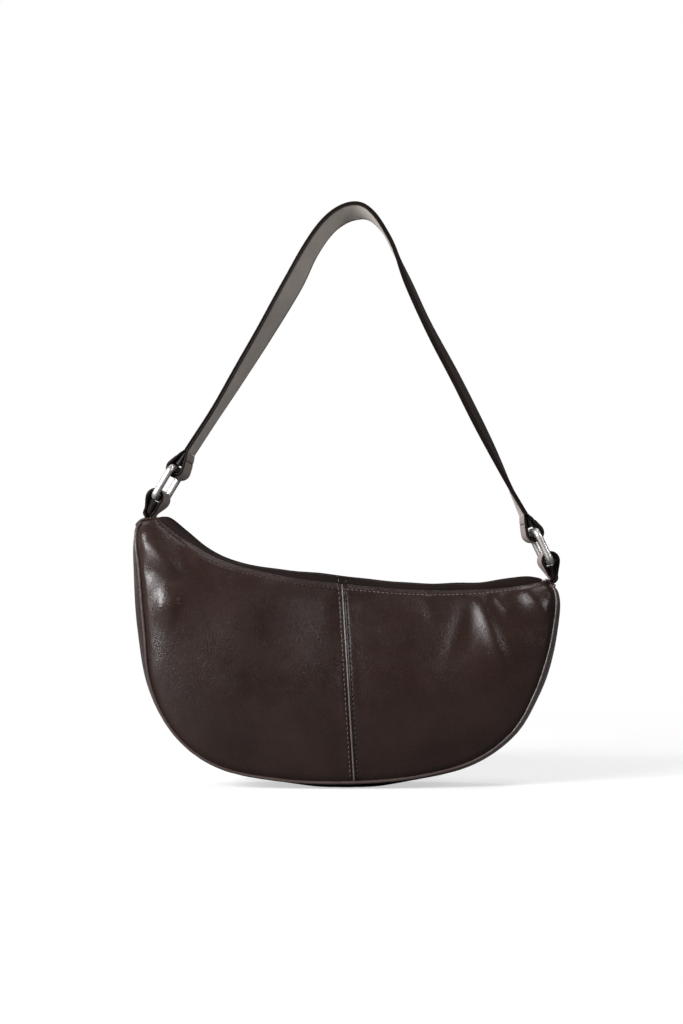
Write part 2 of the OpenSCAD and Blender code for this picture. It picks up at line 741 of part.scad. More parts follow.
module tab_foot(i) {
    us = steps(tab_foot_shares[i][0], tab_foot_shares[i][1], tab_foot_steps);
    ws = steps(-tab_foot_half_share, tab_foot_half_share, tab_foot_steps);
    color(edge_colour)
        sheet(
            [for (u = us) [for (w = ws) foot_point(u, -w, soft_gap + leather)]],
            [for (u = us) [for (w = ws) foot_point(u, -w, soft_gap)]]
        );
}
module tab_left() { tab_foot(0); }
module tab_right() { tab_foot(1); }

front_panel_left();
front_panel_right();
back_panel_left();
back_panel_right();
gusset();
front_piping();
back_piping();
zip_band_front();
zip_band_back();
zip_end_left();
zip_end_right();
zip_tape_front();
zip_tape_back();
zip_teeth_front();
zip_teeth_back();
zip_stops();
zip_slider();
zip_puller();
lining_front();
lining_back();
lining_gusset();
slip_pocket();
tab_left();
tab_left_loop();
tab_right();
tab_right_loop();
ring_left();
ring_right();
strap_outer();
strap_inner();
strap_end_left();
strap_end_right();
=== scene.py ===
# %% [markdown]
# # A half moon shoulder bag in dark leather
# The bag is a crescent shaped pouch: a front and a back panel, each sewn from two halves, a long
# curved gusset between them, a zip along the mouth and a strap on two metal rings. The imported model
# gives every piece its place, its size and its motion. This lesson dresses it: it swaps each soft
# solid for a finer leather or cloth mesh and gives each surface a finish built from nodes.

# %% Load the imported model
import math

import bpy
import numpy as np
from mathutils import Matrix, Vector


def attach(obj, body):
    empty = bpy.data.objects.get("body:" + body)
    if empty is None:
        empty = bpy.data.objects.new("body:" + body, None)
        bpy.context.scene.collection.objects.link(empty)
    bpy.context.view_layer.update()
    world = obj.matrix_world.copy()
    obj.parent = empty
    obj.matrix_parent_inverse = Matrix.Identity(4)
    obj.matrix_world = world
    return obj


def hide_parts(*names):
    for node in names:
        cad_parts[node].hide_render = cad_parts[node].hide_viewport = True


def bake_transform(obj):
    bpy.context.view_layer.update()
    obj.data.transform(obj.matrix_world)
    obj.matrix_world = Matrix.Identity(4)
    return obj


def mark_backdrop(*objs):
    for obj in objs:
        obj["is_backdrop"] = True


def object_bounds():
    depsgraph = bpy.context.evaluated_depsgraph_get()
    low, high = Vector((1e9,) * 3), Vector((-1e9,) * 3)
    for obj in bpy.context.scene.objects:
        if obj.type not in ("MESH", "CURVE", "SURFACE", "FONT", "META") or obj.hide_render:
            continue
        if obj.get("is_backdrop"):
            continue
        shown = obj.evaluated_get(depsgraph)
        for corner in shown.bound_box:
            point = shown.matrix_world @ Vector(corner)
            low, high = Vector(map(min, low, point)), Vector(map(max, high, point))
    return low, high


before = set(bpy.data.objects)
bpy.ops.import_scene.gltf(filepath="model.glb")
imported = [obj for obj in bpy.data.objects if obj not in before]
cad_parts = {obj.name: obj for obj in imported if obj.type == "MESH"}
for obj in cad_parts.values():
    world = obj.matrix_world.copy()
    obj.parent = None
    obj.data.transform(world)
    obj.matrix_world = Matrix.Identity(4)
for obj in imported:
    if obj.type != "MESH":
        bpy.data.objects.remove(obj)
cad_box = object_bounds()
MM = 0.001
print("box in mm", [round(side / MM, 1) for side in cad_box[1] - cad_box[0]])

# %% [markdown]
# ## The sizes the pieces share
# The model was drawn from a few sizes and from tables of shares of those sizes. The same tables are
# repeated here, because a finer mesh has to follow the same seam and the same mouth, and then it fits
# by itself. Lengths are metres. A share is a part of half the width or of the corner height.

# %% Sizes of the bag
HALF_W = 150 * MM
CORNER_H = 188 * MM
BASE_DEPTH = 58 * MM
TIP_DEPTH = 26 * MM
MOUTH_DEPTH = 34 * MM
PANEL_SWELL = 12 * MM
GUSSET_BULGE = 7 * MM
LEATHER_T = 1.4 * MM
PIPING_R = 1.1 * MM
SOFT_GAP = 0.3 * MM

seam_shares = [
    (-0.885, 0.994), (-0.964, 0.981), (-0.984, 0.925), (-0.967, 0.809), (-0.942, 0.596), (-0.911, 0.383),
    (-0.800, 0.205), (-0.600, 0.084), (-0.300, 0.033), (0.033, 0.025), (0.333, 0.047),
    (0.587, 0.104), (0.767, 0.210), (0.870, 0.351), (0.935, 0.500), (0.968, 0.638),
    (0.972, 0.715), (0.950, 0.750), (0.918, 0.764),
]
top_shares = [
    (-0.885, 0.999), (-0.753, 0.918), (-0.560, 0.834), (-0.280, 0.780), (-0.023, 0.755),
    (0.253, 0.734), (0.500, 0.730), (0.735, 0.741), (0.912, 0.764),
]
bulge_shares = [
    0.16, 0.34, 0.72, 0.92, 0.60, 0.36, 0.18, 0.46, 1, 0.62,
    0.62, 0.75, 0.78, 0.72, 0.62, 0.45, 0.16,
]
seam_points = np.array(seam_shares) * (HALF_W, CORNER_H)
top_points = np.array(top_shares) * (HALF_W, CORNER_H)
print("seam drawn through", len(seam_points), "points, mouth through", len(top_points))

# %% [markdown]
# ## Curves through points
# Each table of points becomes a smooth line with a Catmull-Rom spline, which passes through all of
# its points. NumPy works out a whole row of places in one go, so the meshes later are made from
# arrays and not point by point.

# %% Splines and directions


def spline(points, t):
    """Places t, from 0 to 1, along the smooth line through the points."""
    points = np.asarray(points, float)
    if points.ndim == 1:
        return spline(points[:, None], t)[..., 0]
    spans = len(points) - 1
    s = np.clip(np.asarray(t, float), 0, 1) * spans
    i = np.minimum(np.floor(s).astype(int), spans - 1)
    f = (s - i)[..., None]
    a, b = points[np.maximum(i - 1, 0)], points[i]
    c, d = points[i + 1], points[np.minimum(i + 2, spans)]
    return 0.5 * (2 * b + (c - a) * f + (2 * a - 5 * b + 4 * c - d) * f**2 + (3 * b - a - 3 * c + d) * f**3)


def unit(v):
    return v / np.maximum(np.linalg.norm(v, axis=-1, keepdims=True), 1e-12)


def lerp(a, b, t):
    return a + (b - a) * t


def smooth(t):
    """An eased step: 0 up to t = 0 and 1 from t = 1 on."""
    t = np.clip(t, 0, 1)
    return t * t * (3 - 2 * t)


def ridge(distance, place, reach, power=2):
    """1 where the distance equals place, falling away on both sides within the reach."""
    return np.exp(-(((distance - place) / reach) ** power))


print("half way along a line through 0, 1 and 4:", spline([0, 1, 4], [0.5])[0])

# %% [markdown]
# The outline of the bag is two of these lines, the gusset seam and the edge of the mouth. The seam's
# table has one more point past each top corner, where the gusset turns over to meet the zip. Depth
# follows plain rules: the bag is deepest in the middle of its length and narrow at both tips.

# %% The lines of the bag
CORNER_SHARE = 1 / (len(seam_shares) - 3)
NIB = 0.004


def seam(u):
    """Front view of the gusset seam, u from 0 at the left corner to 1 at the right corner."""
    return spline(seam_points, (u + CORNER_SHARE) / (1 + 2 * CORNER_SHARE))


def inward(u):
    """Unit directions in the front view that point from the seam into the bag."""
    t = unit(seam(u + NIB) - seam(u - NIB))
    return np.stack([-t[..., 1], t[..., 0]], -1)


def top_edge(u):
    """Front view of the edge of the mouth, u as for the seam."""
    return spline(top_points, u)


def arch(u, power):
    return np.maximum(np.sin(np.pi * np.clip(u, 0, 1)), 0) ** power


def gusset_half(u):
    return lerp(TIP_DEPTH, BASE_DEPTH, arch(u, 0.7)) / 2


def mouth_half(u):
    return lerp(TIP_DEPTH - 2 * SOFT_GAP, MOUTH_DEPTH, arch(u, 0.6)) / 2


def bulge(u):
    return GUSSET_BULGE * spline(bulge_shares, u)


centre_low, centre_high = seam(np.array([0.5]))[0], top_edge(np.array([0.5]))[0]
print("centre seam runs from", np.round(centre_low / MM, 1), "to", np.round(centre_high / MM, 1), "mm")

# %% [markdown]
# ## Leather as a shell with a rounded edge
# A sheet of leather has a thickness and a soft, rounded edge. One helper makes every sheet here. It
# takes a grid of points on the outer face, steps inwards along the normals to find the inner face, and
# goes round both long edges in a half circle. The result is one closed mesh whose faces point out.
# The last helper marks which points are drawn dark, for the materials to read: a maker's edge paint in some
# places, painted shade in seams and folds in others.

# %% Mesh helpers


def new_piece(name, points, faces, sharp_deg=50):
    """Smooth shaded mesh object; edges sharper than sharp_deg stay crisp."""
    mesh = bpy.data.meshes.new(name)
    mesh.from_pydata([tuple(p) for p in points], [], [tuple(int(i) for i in f) for f in faces])
    mesh.validate()
    mesh.polygons.foreach_set("use_smooth", [True] * len(mesh.polygons))
    mesh.set_sharp_from_angle(angle=math.radians(sharp_deg))
    piece = bpy.data.objects.new(name, mesh)
    bpy.context.scene.collection.objects.link(piece)
    return piece


def grid_normals(grid):
    """Unit normals of a grid of points, on the side from which i runs right and j runs up."""
    along_i = np.gradient(grid, axis=0)
    along_j = np.gradient(grid, axis=1)
    return unit(np.cross(along_i, along_j))


def loop_faces(rings, count):
    """Quads that join closed rings of count points, the rings running right as seen from outside."""
    i, j = np.meshgrid(np.arange(rings - 1), np.arange(count), indexing="ij")
    a, b = i * count + j, i * count + (j + 1) % count
    return np.stack([a, a + count, b + count, b], -1).reshape(-1, 4).tolist()


def leather_shell(name, outer, thickness, edge_steps=4):
    """Closed sheet whose outer face is the grid outer[i][j], i to the right and j up."""
    m, n = outer.shape[:2]
    normal = grid_normals(outer)
    inner = outer - normal * thickness
    half = thickness / 2
    turns = np.linspace(0, np.pi, edge_steps + 2)[1:-1]

    def edge_round(j, other):
        centre = (outer[:, j] + inner[:, j]) / 2
        out = unit(outer[:, j] - outer[:, other])
        return [centre + half * (np.cos(t) * normal[:, j] + np.sin(t) * out) for t in turns]

    top = edge_round(n - 1, n - 2)
    low = edge_round(0, 1)[::-1]
    rows = [*outer.swapaxes(0, 1), *top, *inner[:, ::-1].swapaxes(0, 1), *low]
    ring = np.stack(rows, 1)
    count = ring.shape[1]
    faces = loop_faces(m, count)
    k = len(turns)
    for base, flip in ((0, False), ((m - 1) * count, True)):
        caps = [[j, j + 1, 2 * n + k - 2 - j, 2 * n + k - 1 - j] for j in range(n - 1)]
        caps.append(list(range(n - 1, n + k + 1)))
        caps.append([2 * n + k - 1 + j for j in range(k + 1)] + [0])
        for cap in caps:
            cap = [base + c for c in cap]
            faces.append(cap[::-1] if flip else cap)
    return new_piece(name, ring.reshape(-1, 3), faces)


def closed_tube(name, rings, closed_path=False):
    """Tube through rings[i][j] of points; each ring turns clockwise as seen from the start."""
    m, n = rings.shape[:2]
    faces = loop_faces(m, n)
    if closed_path:
        last = (m - 1) * n
        faces += [[last + j, j, (j + 1) % n, last + (j + 1) % n] for j in range(n)]
    else:
        faces += [list(range(n)), [(m - 1) * n + j for j in range(n - 1, -1, -1)]]
    return new_piece(name, rings.reshape(-1, 3), faces)


def signed_volume(piece):
    """Volume inside the faces, negative where they point inwards."""
    mesh = piece.data
    mesh.calc_loop_triangles()
    co = np.array([v.co for v in mesh.vertices])
    tri = co[np.array([t.vertices[:] for t in mesh.loop_triangles])]
    return float(np.einsum("ij,ij->i", tri[:, 0], np.cross(tri[:, 1], tri[:, 2])).sum() / 6)


def face_out(piece):
    """Turns every face round if the mesh is inside out."""
    if signed_volume(piece) < 0:
        piece.data.flip_normals()
    return piece


def ready(piece, material, body, slot, *nodes):
    """Gives a finished mesh its material and its body and hides the solids that it stands for; slot is not
    used.
    """
    piece.data.materials.clear()
    piece.data.materials.append(material)
    face_out(piece)
    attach(piece, body)
    if nodes:
        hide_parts(*nodes)
    print(piece.name, len(piece.data.polygons), "faces", round(signed_volume(piece) / MM**3), "mm3")
    return piece


def set_paint_and_shade_share(piece, values):
    """Mark how strongly each point is drawn dark: 0 is plain leather, 1 is full dark paint, which is edge
    paint in some places and painted shade in others.
    """
    layer = piece.data.attributes.new("paint_and_shade_share", "FLOAT", "POINT")
    layer.data.foreach_set("value", np.asarray(values, float).ravel())


# %% [markdown]
# ## Finishes
# Each finish is one material with its own nodes. All patterns read Object coordinates, which are real
# metres here because every piece sits at the origin, so a scale of 900 means 900 cells in a metre.
# A finish is built up in layers: slow changes of colour and gloss first, then the grain as a bump.

# %% A small kit for node materials


class Finish:
    """A material with a Principled shader, and short calls that add nodes to it."""

    def __init__(self, name):
        self.material = bpy.data.materials.new(name)
        self.material.use_nodes = True
        self.nodes = self.material.node_tree.nodes
        self.links = self.material.node_tree.links
        self.shader = self.nodes["Principled BSDF"]
        self.place = self.add("ShaderNodeTexCoord").outputs["Object"]

    def add(self, kind, **values):
        node = self.nodes.new(kind)
        for key, value in values.items():
            setattr(node, key, value)
        return node

    def join(self, output, socket):
        self.links.new(output, socket)

    def stretched(self, scale):
        node = self.add("ShaderNodeMapping")
        node.inputs["Scale"].default_value = scale
        self.join(self.place, node.inputs["Vector"])
        return node.outputs["Vector"]

    def noise(self, scale, detail=3, rough=0.5, place=None, distortion=0.0):
        node = self.add("ShaderNodeTexNoise")
        node.inputs["Scale"].default_value = scale
        node.inputs["Detail"].default_value = detail
        node.inputs["Roughness"].default_value = rough
        node.inputs["Distortion"].default_value = distortion
        self.join(place or self.place, node.inputs["Vector"])
        return node.outputs["Fac"]

    def cells(self, scale, feature="DISTANCE_TO_EDGE", place=None):
        node = self.add("ShaderNodeTexVoronoi", feature=feature)
        node.inputs["Scale"].default_value = scale
        self.join(place or self.place, node.inputs["Vector"])
        return node.outputs["Distance"]

    def wave(self, scale, direction, place=None, distortion=0.0):
        node = self.add("ShaderNodeTexWave", bands_direction=direction)
        node.inputs["Scale"].default_value = scale
        node.inputs["Distortion"].default_value = distortion
        self.join(place or self.place, node.inputs["Vector"])
        return node.outputs["Fac"]

    def span(self, value, low, high, to_low=0.0, to_high=1.0):
        node = self.add("ShaderNodeMapRange")
        for socket, number in zip(("From Min", "From Max", "To Min", "To Max"), (low, high, to_low, to_high)):
            node.inputs[socket].default_value = number
        self.join(value, node.inputs["Value"])
        return node.outputs["Result"]

    def maths(self, operation, a, b):
        node = self.add("ShaderNodeMath", operation=operation)
        for socket, value in zip(node.inputs, (a, b)):
            if isinstance(value, (int, float)):
                socket.default_value = value
            else:
                self.join(value, socket)
        return node.outputs["Value"]

    def mix(self, share, a, b):
        node = self.add("ShaderNodeMix", data_type="RGBA")
        for socket, value in ((node.inputs["Factor"], share), (node.inputs["A"], a), (node.inputs["B"], b)):
            if isinstance(value, tuple):
                socket.default_value = (*value, 1)
            elif isinstance(value, (int, float)):
                socket.default_value = value
            else:
                self.join(value, socket)
        return node.outputs["Result"]

    def bump(self, height, strength, distance, under=None):
        node = self.add("ShaderNodeBump")
        node.inputs["Strength"].default_value = strength
        node.inputs["Distance"].default_value = distance
        self.join(height, node.inputs["Height"])
        if under:
            self.join(under, node.inputs["Normal"])
        return node.outputs["Normal"]

    def set(self, **values):
        for key, value in values.items():
            socket = self.shader.inputs[key.replace("_", " ")]
            if isinstance(value, bpy.types.NodeSocket):
                self.join(value, socket)
            elif isinstance(value, tuple):
                socket.default_value = (*value, 1)
            else:
                socket.default_value = value
        return self


# %% [markdown]
# ### Smooth calf leather
# The body leather is a dark espresso brown, polished but not lacquered. Dye sinks in unevenly, so the colour
# drifts over a hand's breadth. The grain is fine: tiny cells about a millimetre across, which break a
# highlight into speckles, over slow creases. A thin coat gives a soft second gloss. The maker paints cut
# edges nearly black, and that paint is dull. The same dark, dull colour also stands in as painted shade, in
# the groove of the centre seam and in the hollows of the folds round the rings. A painted leather therefore
# reads a share at each point and turns towards that dark colour where it is high.

# %% Leather finishes
# The dark, dull colour of the maker's edge paint, also used as painted shade in the seam groove and the fold
# hollows
PAINT_AND_SHADE = (0.0075, 0.0050, 0.0045)
PAINT_AND_SHADE_SHINE = 0.04


def leather_finish(name, dark, light, roughness, grain=1.0, coat=0.10, painted=False, shine=0.23):
    """Leather that drifts between two browns; grain scales the bump and shine the mirror light."""
    f = Finish(name)
    drift = f.noise(9, 4, 0.55, distortion=0.6)
    cloud = f.noise(38, 5, 0.6)
    dye = f.maths("ADD", f.maths("MULTIPLY", drift, 0.7), f.maths("MULTIPLY", cloud, 0.3))
    speck = f.noise(1500, 2, 0.5)
    tone = f.mix(f.span(dye, 0.36, 0.64), dark, light)
    tone = f.mix(f.span(speck, 0.55, 0.8, 0, 0.18), tone, tuple(2.2 * c for c in light))
    # The share marks edge paint and painted shade alike; both turn the leather dark and dull
    if painted:
        paint_and_shade = f.add("ShaderNodeAttribute", attribute_name="paint_and_shade_share").outputs["Fac"]
        tone = f.mix(paint_and_shade, tone, PAINT_AND_SHADE)
        shine = f.span(paint_and_shade, 0, 1, shine, PAINT_AND_SHADE_SHINE)
    creases = f.cells(430, place=f.stretched((1, 1, 1.4)))
    pores = f.cells(1250)
    normal = f.bump(f.span(creases, 0, 0.12), 0.12 * grain, 0.10 * MM)
    normal = f.bump(f.span(pores, 0, 0.25), 0.22 * grain, 0.08 * MM, normal)
    normal = f.bump(f.noise(780, 2, 0.55), 0.50 * grain, 0.18 * MM, normal)
    normal = f.bump(speck, 0.35 * grain, 0.10 * MM, normal)
    normal = f.bump(f.noise(2600, 3, 0.6), 0.30 * grain, 0.06 * MM, normal)
    gloss = f.span(f.noise(60, 5, 0.65), 0.3, 0.7, roughness - 0.05, roughness + 0.07)
    f.set(Base_Color=tone, Roughness=gloss, Normal=normal, Specular_IOR_Level=shine)
    f.set(Coat_Weight=coat, Coat_Roughness=0.3, Coat_IOR=1.45, Coat_Normal=normal)
    return f.material


espresso = leather_finish("espresso_leather", (0.0105, 0.0056, 0.0047), (0.0190, 0.0102, 0.0085),
                          roughness=0.27, grain=1.35, painted=True)
# Zip bands and covers: a darker copy of the body leather, painted shade for the mouth, and rougher and duller
# too
band_leather = leather_finish("band_leather", (0.0050, 0.0028, 0.0024), (0.0095, 0.0054, 0.0046),
                              roughness=0.66, grain=0.8, coat=0.0, shine=0.07)
# Piping: paler than the body leather, partly a painted highlight for the light line along its round top
piping_leather = leather_finish("piping_leather", (0.032, 0.022, 0.020), (0.056, 0.041, 0.037),
                                roughness=0.32, grain=0.5)
# Centre bead: far paler than the body leather, a painted highlight along its crest
bead_highlight_leather = leather_finish("bead_highlight_leather", (0.070, 0.053, 0.048), (0.115, 0.092, 0.085),
                              roughness=0.34, grain=0.5)
strap_leather = leather_finish("strap_leather", (0.016, 0.010, 0.009), (0.026, 0.017, 0.015),
                               roughness=0.74, grain=0.6, coat=0.0, painted=True, shine=0.12)
# Folds round the rings: pale grey-brown, partly the pale inner ply and partly a painted sheen for the light
# on their flanks; the flank that looks away from the bag is painted dark, the dark outer ply
pale_ply_and_sheen_leather = leather_finish("pale_ply_and_sheen_leather", (0.150, 0.124, 0.114), (0.225, 0.192, 0.178),
                             roughness=0.58, grain=0.5, coat=0.03, painted=True, shine=0.16)
strap_lining = leather_finish("strap_lining", (0.275, 0.245, 0.222), (0.370, 0.334, 0.306),
                              roughness=0.55, grain=0.25, coat=0.05, painted=True)
print("leather finishes:", [m.name for m in bpy.data.materials if "leather" in m.name or "lining" in m.name])

# %% [markdown]
# ### Thread, painted shade for the folds, cloth and metal
# Thread is matt and lighter than the leather, with a twist that shows as fine ribs. A darker copy of the same
# thread is painted shade, for rows that stay faint in the light. Inside each fold a wedge is drawn
# near-black, as painted shade for the hollow. The lining is a twill, made from two waves that cross. The
# rings are a soft white metal that has been brushed and then worn: fine scratches one way and clouds in the
# gloss.

# %% Thread, fold shade, cloth and metal finishes


def thread_finish(name, colour):
    f = Finish(name)
    ribs = f.wave(900, "DIAGONAL")
    f.set(Base_Color=f.mix(f.span(ribs, 0, 1, 0.0, 0.45), colour, tuple(0.5 * c for c in colour)))
    f.set(Normal=f.bump(ribs, 0.4, 0.05 * MM), Roughness=0.55, Sheen_Weight=0.3, Sheen_Roughness=0.4)
    return f.material


# Near-black fill for the wedges inside the folds: painted shade for their hollows, with a slow mottle
def fold_shade_finish():
    f = Finish("fold_shade_paint")
    mottle = f.noise(220, 4, 0.6)
    f.set(Base_Color=f.mix(f.span(mottle, 0.5, 0.75, 0, 0.5), (0.006, 0.0045, 0.004), (0.020, 0.014, 0.012)))
    f.set(Specular_IOR_Level=0.12)
    f.set(Roughness=f.span(mottle, 0.3, 0.7, 0.38, 0.55), Normal=f.bump(f.noise(700, 3), 0.25, 0.08 * MM))
    return f.material


def cloth_finish(name, dark, light, threads):
    f = Finish(name)
    warp = f.wave(threads, "DIAGONAL")
    weft = f.wave(threads, "Y")
    weave = f.maths("MULTIPLY", warp, weft)
    slub = f.noise(300, 3, 0.6)
    f.set(Base_Color=f.mix(f.maths("MULTIPLY", weave, f.span(slub, 0.2, 0.8, 0.5, 1.0)), dark, light))
    f.set(Roughness=0.85, Sheen_Weight=0.25, Normal=f.bump(weave, 0.5, 0.12 * MM))
    return f.material


def metal_finish(name, bright, dull, roughness, scratch):
    f = Finish(name)
    cloud = f.noise(130, 5, 0.65)
    lines = f.noise(420, 4, 0.6, f.stretched(scratch))
    both = f.maths("ADD", f.maths("MULTIPLY", cloud, 0.6), f.maths("MULTIPLY", lines, 0.4))
    worn = f.span(both, 0.38, 0.62)
    f.set(Base_Color=f.mix(worn, dull, bright), Metallic=1.0)
    f.set(Roughness=f.span(worn, 0, 1, roughness + 0.14, roughness - 0.04))
    normal = f.bump(lines, 0.05, 0.06 * MM)
    f.set(Normal=f.bump(f.noise(900, 3), 0.08, 0.05 * MM, normal))
    return f.material


thread = thread_finish("seam_thread", (0.078, 0.057, 0.050))
# A shaded copy of the seam thread: painted shade for the rows that stay faint
shaded_thread = thread_finish("shaded_thread", (0.020, 0.013, 0.011))
fold_shade_paint = fold_shade_finish()
lining_cloth = cloth_finish("lining_twill", (0.030, 0.024, 0.021), (0.085, 0.070, 0.060), 520)
tape_cloth = cloth_finish("zip_tape_weave", (0.008, 0.006, 0.006), (0.022, 0.016, 0.015), 700)
ring_metal = metal_finish("aged_nickel", (0.66, 0.63, 0.615), (0.32, 0.305, 0.295), 0.42, (1, 5, 1))
zip_metal = metal_finish("dark_nickel", (0.52, 0.49, 0.44), (0.25, 0.23, 0.20), 0.30, (1, 6, 1))
print(len(bpy.data.materials), "finishes")

# %% [markdown]
# ## The panels
# Each side of the bag is cut from two halves that meet in a seam down the middle. The leather swells
# from the gusset to the mouth and sags a little. A real panel is never a clean surface, so four things
# are added to the plain swell: slow waves, a few drawn folds where the strap pulls at the corners,
# small puckers along the seams, and the way the leather dives into each seam. They are heights in
# metres, added outwards.

# %% Small forms on the surface
WAVE_COUNT = 9
WAVE_H = 0.30 * MM
PUCKER_H = 0.075 * MM
rng = np.random.default_rng(11)
wave_dirs = rng.uniform(0, np.pi, WAVE_COUNT)
wave_lengths = rng.uniform(45, 120, WAVE_COUNT) * MM
wave_phases = rng.uniform(0, 2 * np.pi, WAVE_COUNT)

# Each fold in mm: its start and its end in the front view, its height and its half width
front_folds = [
    ((-143, 172), (-119, 152), 1.5, 6.5),
    ((-131, 129), (-119, 125), 2.2, 10.0),
    ((-140, 152), (-118, 142), -0.7, 5.0),
    ((83, 133), (70, 92), 0.5, 4.8),
    ((93, 128), (106, 92), 1.8, 5.4),
    ((86, 122), (86, 100), -0.5, 5.0),
    ((104, 134), (112, 123), 0.8, 3.4),
    ((124, 141), (139, 122), 2.2, 7.0),
    ((117, 134), (134, 104), -0.4, 7.0),
    ((52, 138), (60, 118), 0.5, 4.5),
    ((-112, 158), (-72, 143), 0.8, 5.0),
]
back_folds = [
    ((-138, 168), (-114, 140), 1.3, 7.0),
    ((-128, 172), (-106, 150), -0.8, 6.0),
    ((60, 130), (86, 96), 0.9, 6.0),
    ((118, 134), (138, 112), 1.2, 6.0),
    ((100, 132), (120, 100), -0.7, 7.0),
    ((-60, 142), (-44, 112), 0.5, 7.0),
]


def slow_waves(x, z, seed):
    """Waves a hand's width long in all directions; another seed turns and shifts them."""
    height = np.zeros_like(x)
    for k, (way, length, phase) in enumerate(zip(wave_dirs, wave_lengths, wave_phases)):
        turn = 2 * np.pi / length
        height += np.sin((x * np.cos(way + seed) + z * np.sin(way + seed)) * turn + phase + seed * k)
    return WAVE_H * height / 2


def drawn_folds(x, z, folds):
    """Sum of folds, each a soft ridge along a straight line of the front view."""
    height = np.zeros_like(x)
    for start, end, tall, half in folds:
        a, b = np.array(start) * MM, np.array(end) * MM
        length = np.linalg.norm(b - a)
        way = (b - a) / length
        run = (x - a[0]) * way[0] + (z - a[1]) * way[1]
        off = -(x - a[0]) * way[1] + (z - a[1]) * way[0]
        height += tall * MM * ridge(run, length / 2, 0.62 * length, 4) * ridge(off, 0, half * MM)
    return height


def puckers(run, away, reach, seed):
    """Small waves along a seam; run is the distance along it and away the distance from their line."""
    wobble = (np.sin(run / (3.1 * MM) + seed) + 0.8 * np.sin(run / (4.7 * MM) + 2.1 * seed)
              + 0.6 * np.sin(run / (7.9 * MM) + 0.7 * seed))
    return PUCKER_H * wobble * ridge(away, 0, reach)


def seam_forms(distance, forms):
    """Ridges and grooves along a seam, each given as its height, its distance from the seam and its reach."""
    return sum(height * ridge(distance, place, reach) for height, place, reach in forms)


print(len(front_folds), "folds in front,", len(back_folds), "behind")

# %% [markdown]
# The surface itself is a function of two numbers: u runs from the left corner to the right corner and
# v from the gusset seam up to the mouth. Each small form is a height that is added to the plain depth.

# %% The panel surface
SEAM_LENGTH = 620 * MM
STITCH_IN = 2.6 * MM
MOUTH_STITCH_IN = 3.2 * MM
PANEL_ROOM = 0.72 * (PIPING_R + SOFT_GAP)
TOP_ROLL = 1.9 * MM
SEAM_FADE = 3 * MM
piping_dive = [(-1.25 * MM, 0, 2.4 * MM)]
mouth_row = [(-0.35 * MM, MOUTH_STITCH_IN, 0.8 * MM)]
centre_shoulder = (0.12 * MM, 4.2 * MM, 2.4 * MM)
centre_row = (-0.18 * MM, STITCH_IN, 0.5 * MM)
centre_groove = (-0.50 * MM, 0.7 * MM, 0.55 * MM)


def belly(v):
    return np.sin(np.pi * v**0.85)


def mouth_roll(x, from_top):
    """Soft roll of leather under the mouth: full left of the middle, lower to the right of it.

    It is gone at the left corner.
    """
    tall = TOP_ROLL * smooth((x + 118 * MM) / (14 * MM)) * (1 - 0.55 * smooth((x + 12 * MM) / (40 * MM)))
    return tall * smooth(from_top / MOUTH_STITCH_IN) * (1 - smooth((from_top - 3 * MM) / (13 * MM)))


def panel_surface(u, v, side):
    """Outer face of the front panel (side 1) or the back panel (side -1) at equal arrays of u and v."""
    low = seam(u) + inward(u) * PANEL_ROOM
    high = top_edge(u)
    place = low + (high - low) * v[..., None]
    x, z = place[..., 0], place[..., 1]
    reach = np.linalg.norm(high - low, axis=-1)
    from_seam, from_top = v * reach, (1 - v) * reach
    from_centre = np.abs(x - lerp(centre_low, centre_high, v[..., None])[..., 0])
    calm = smooth(from_seam / (16 * MM)) * smooth(from_top / (14 * MM)) * smooth(from_centre / (14 * MM))
    held = smooth(from_top / (5 * MM)) * smooth(from_seam / (7 * MM))
    fade = smooth(from_seam / SEAM_FADE)
    depth = lerp(gusset_half(u), mouth_half(u), v) + PANEL_SWELL * arch(u, 0.8) * belly(v)
    depth = depth + slow_waves(x, z, 0.0 if side > 0 else 1.9) * calm
    depth = depth + drawn_folds(x, z, front_folds if side > 0 else back_folds) * held
    run = (u - 0.5) * SEAM_LENGTH
    depth = depth + puckers(run, from_seam - 4 * MM, 6 * MM, 1.0 + side) * fade
    depth = depth + puckers(x, from_top - 5 * MM, 5 * MM, 4.0 + side) * smooth(from_top / SEAM_FADE)
    depth = depth + puckers(z, from_centre - 5 * MM, 4 * MM, 7.0 + side) * 0.7
    depth = depth + mouth_roll(x, from_top)
    depth = depth + seam_forms(from_seam, piping_dive) + seam_forms(from_top, mouth_row)
    depth = depth + seam_forms(from_centre, [centre_shoulder, centre_row, centre_groove]) * fade
    return np.stack([x, -side * depth, z], -1)


def panel_grid(us, vs, side):
    return panel_surface(*np.meshgrid(us, vs, indexing="ij"), side)


centre_depth = -panel_surface(np.array([0.5]), np.array([0.5]), 1)[0, 1]
print("the front panel bulges", round(centre_depth / MM, 1), "mm from the middle plane at its centre")

# %% [markdown]
# Grid lines are set closer together near the seams and the edges, where the leather turns sharply, and
# wide apart in the plain middle. This keeps the mesh small where nothing happens.

# %% Where the grid lines go


def spaced(start, end, count, dense):
    """Places from start to end, with extra ones around each entry of dense, a (place, reach, n)."""
    places = [np.linspace(start, end, count)]
    for place, reach, n in dense:
        places.append(place + np.linspace(-1, 1, 2 * n + 1) * reach)
    merged = np.unique(np.round(np.concatenate(places), 5))
    return merged[(merged >= start) & (merged <= end)]


HALF_SEAM_GAP = 0.0005
panel_vs = spaced(0, 1, 58, [(0, 0.035, 9), (1, 0.05, 12)])
left_us = spaced(0, 0.5 - HALF_SEAM_GAP, 96, [(0.5, 0.022, 24), (0, 0.02, 4)])
right_us = spaced(0.5 + HALF_SEAM_GAP, 1, 96, [(0.5, 0.022, 24), (1, 0.02, 4)])
print("a panel half has", len(left_us), "by", len(panel_vs), "grid points")

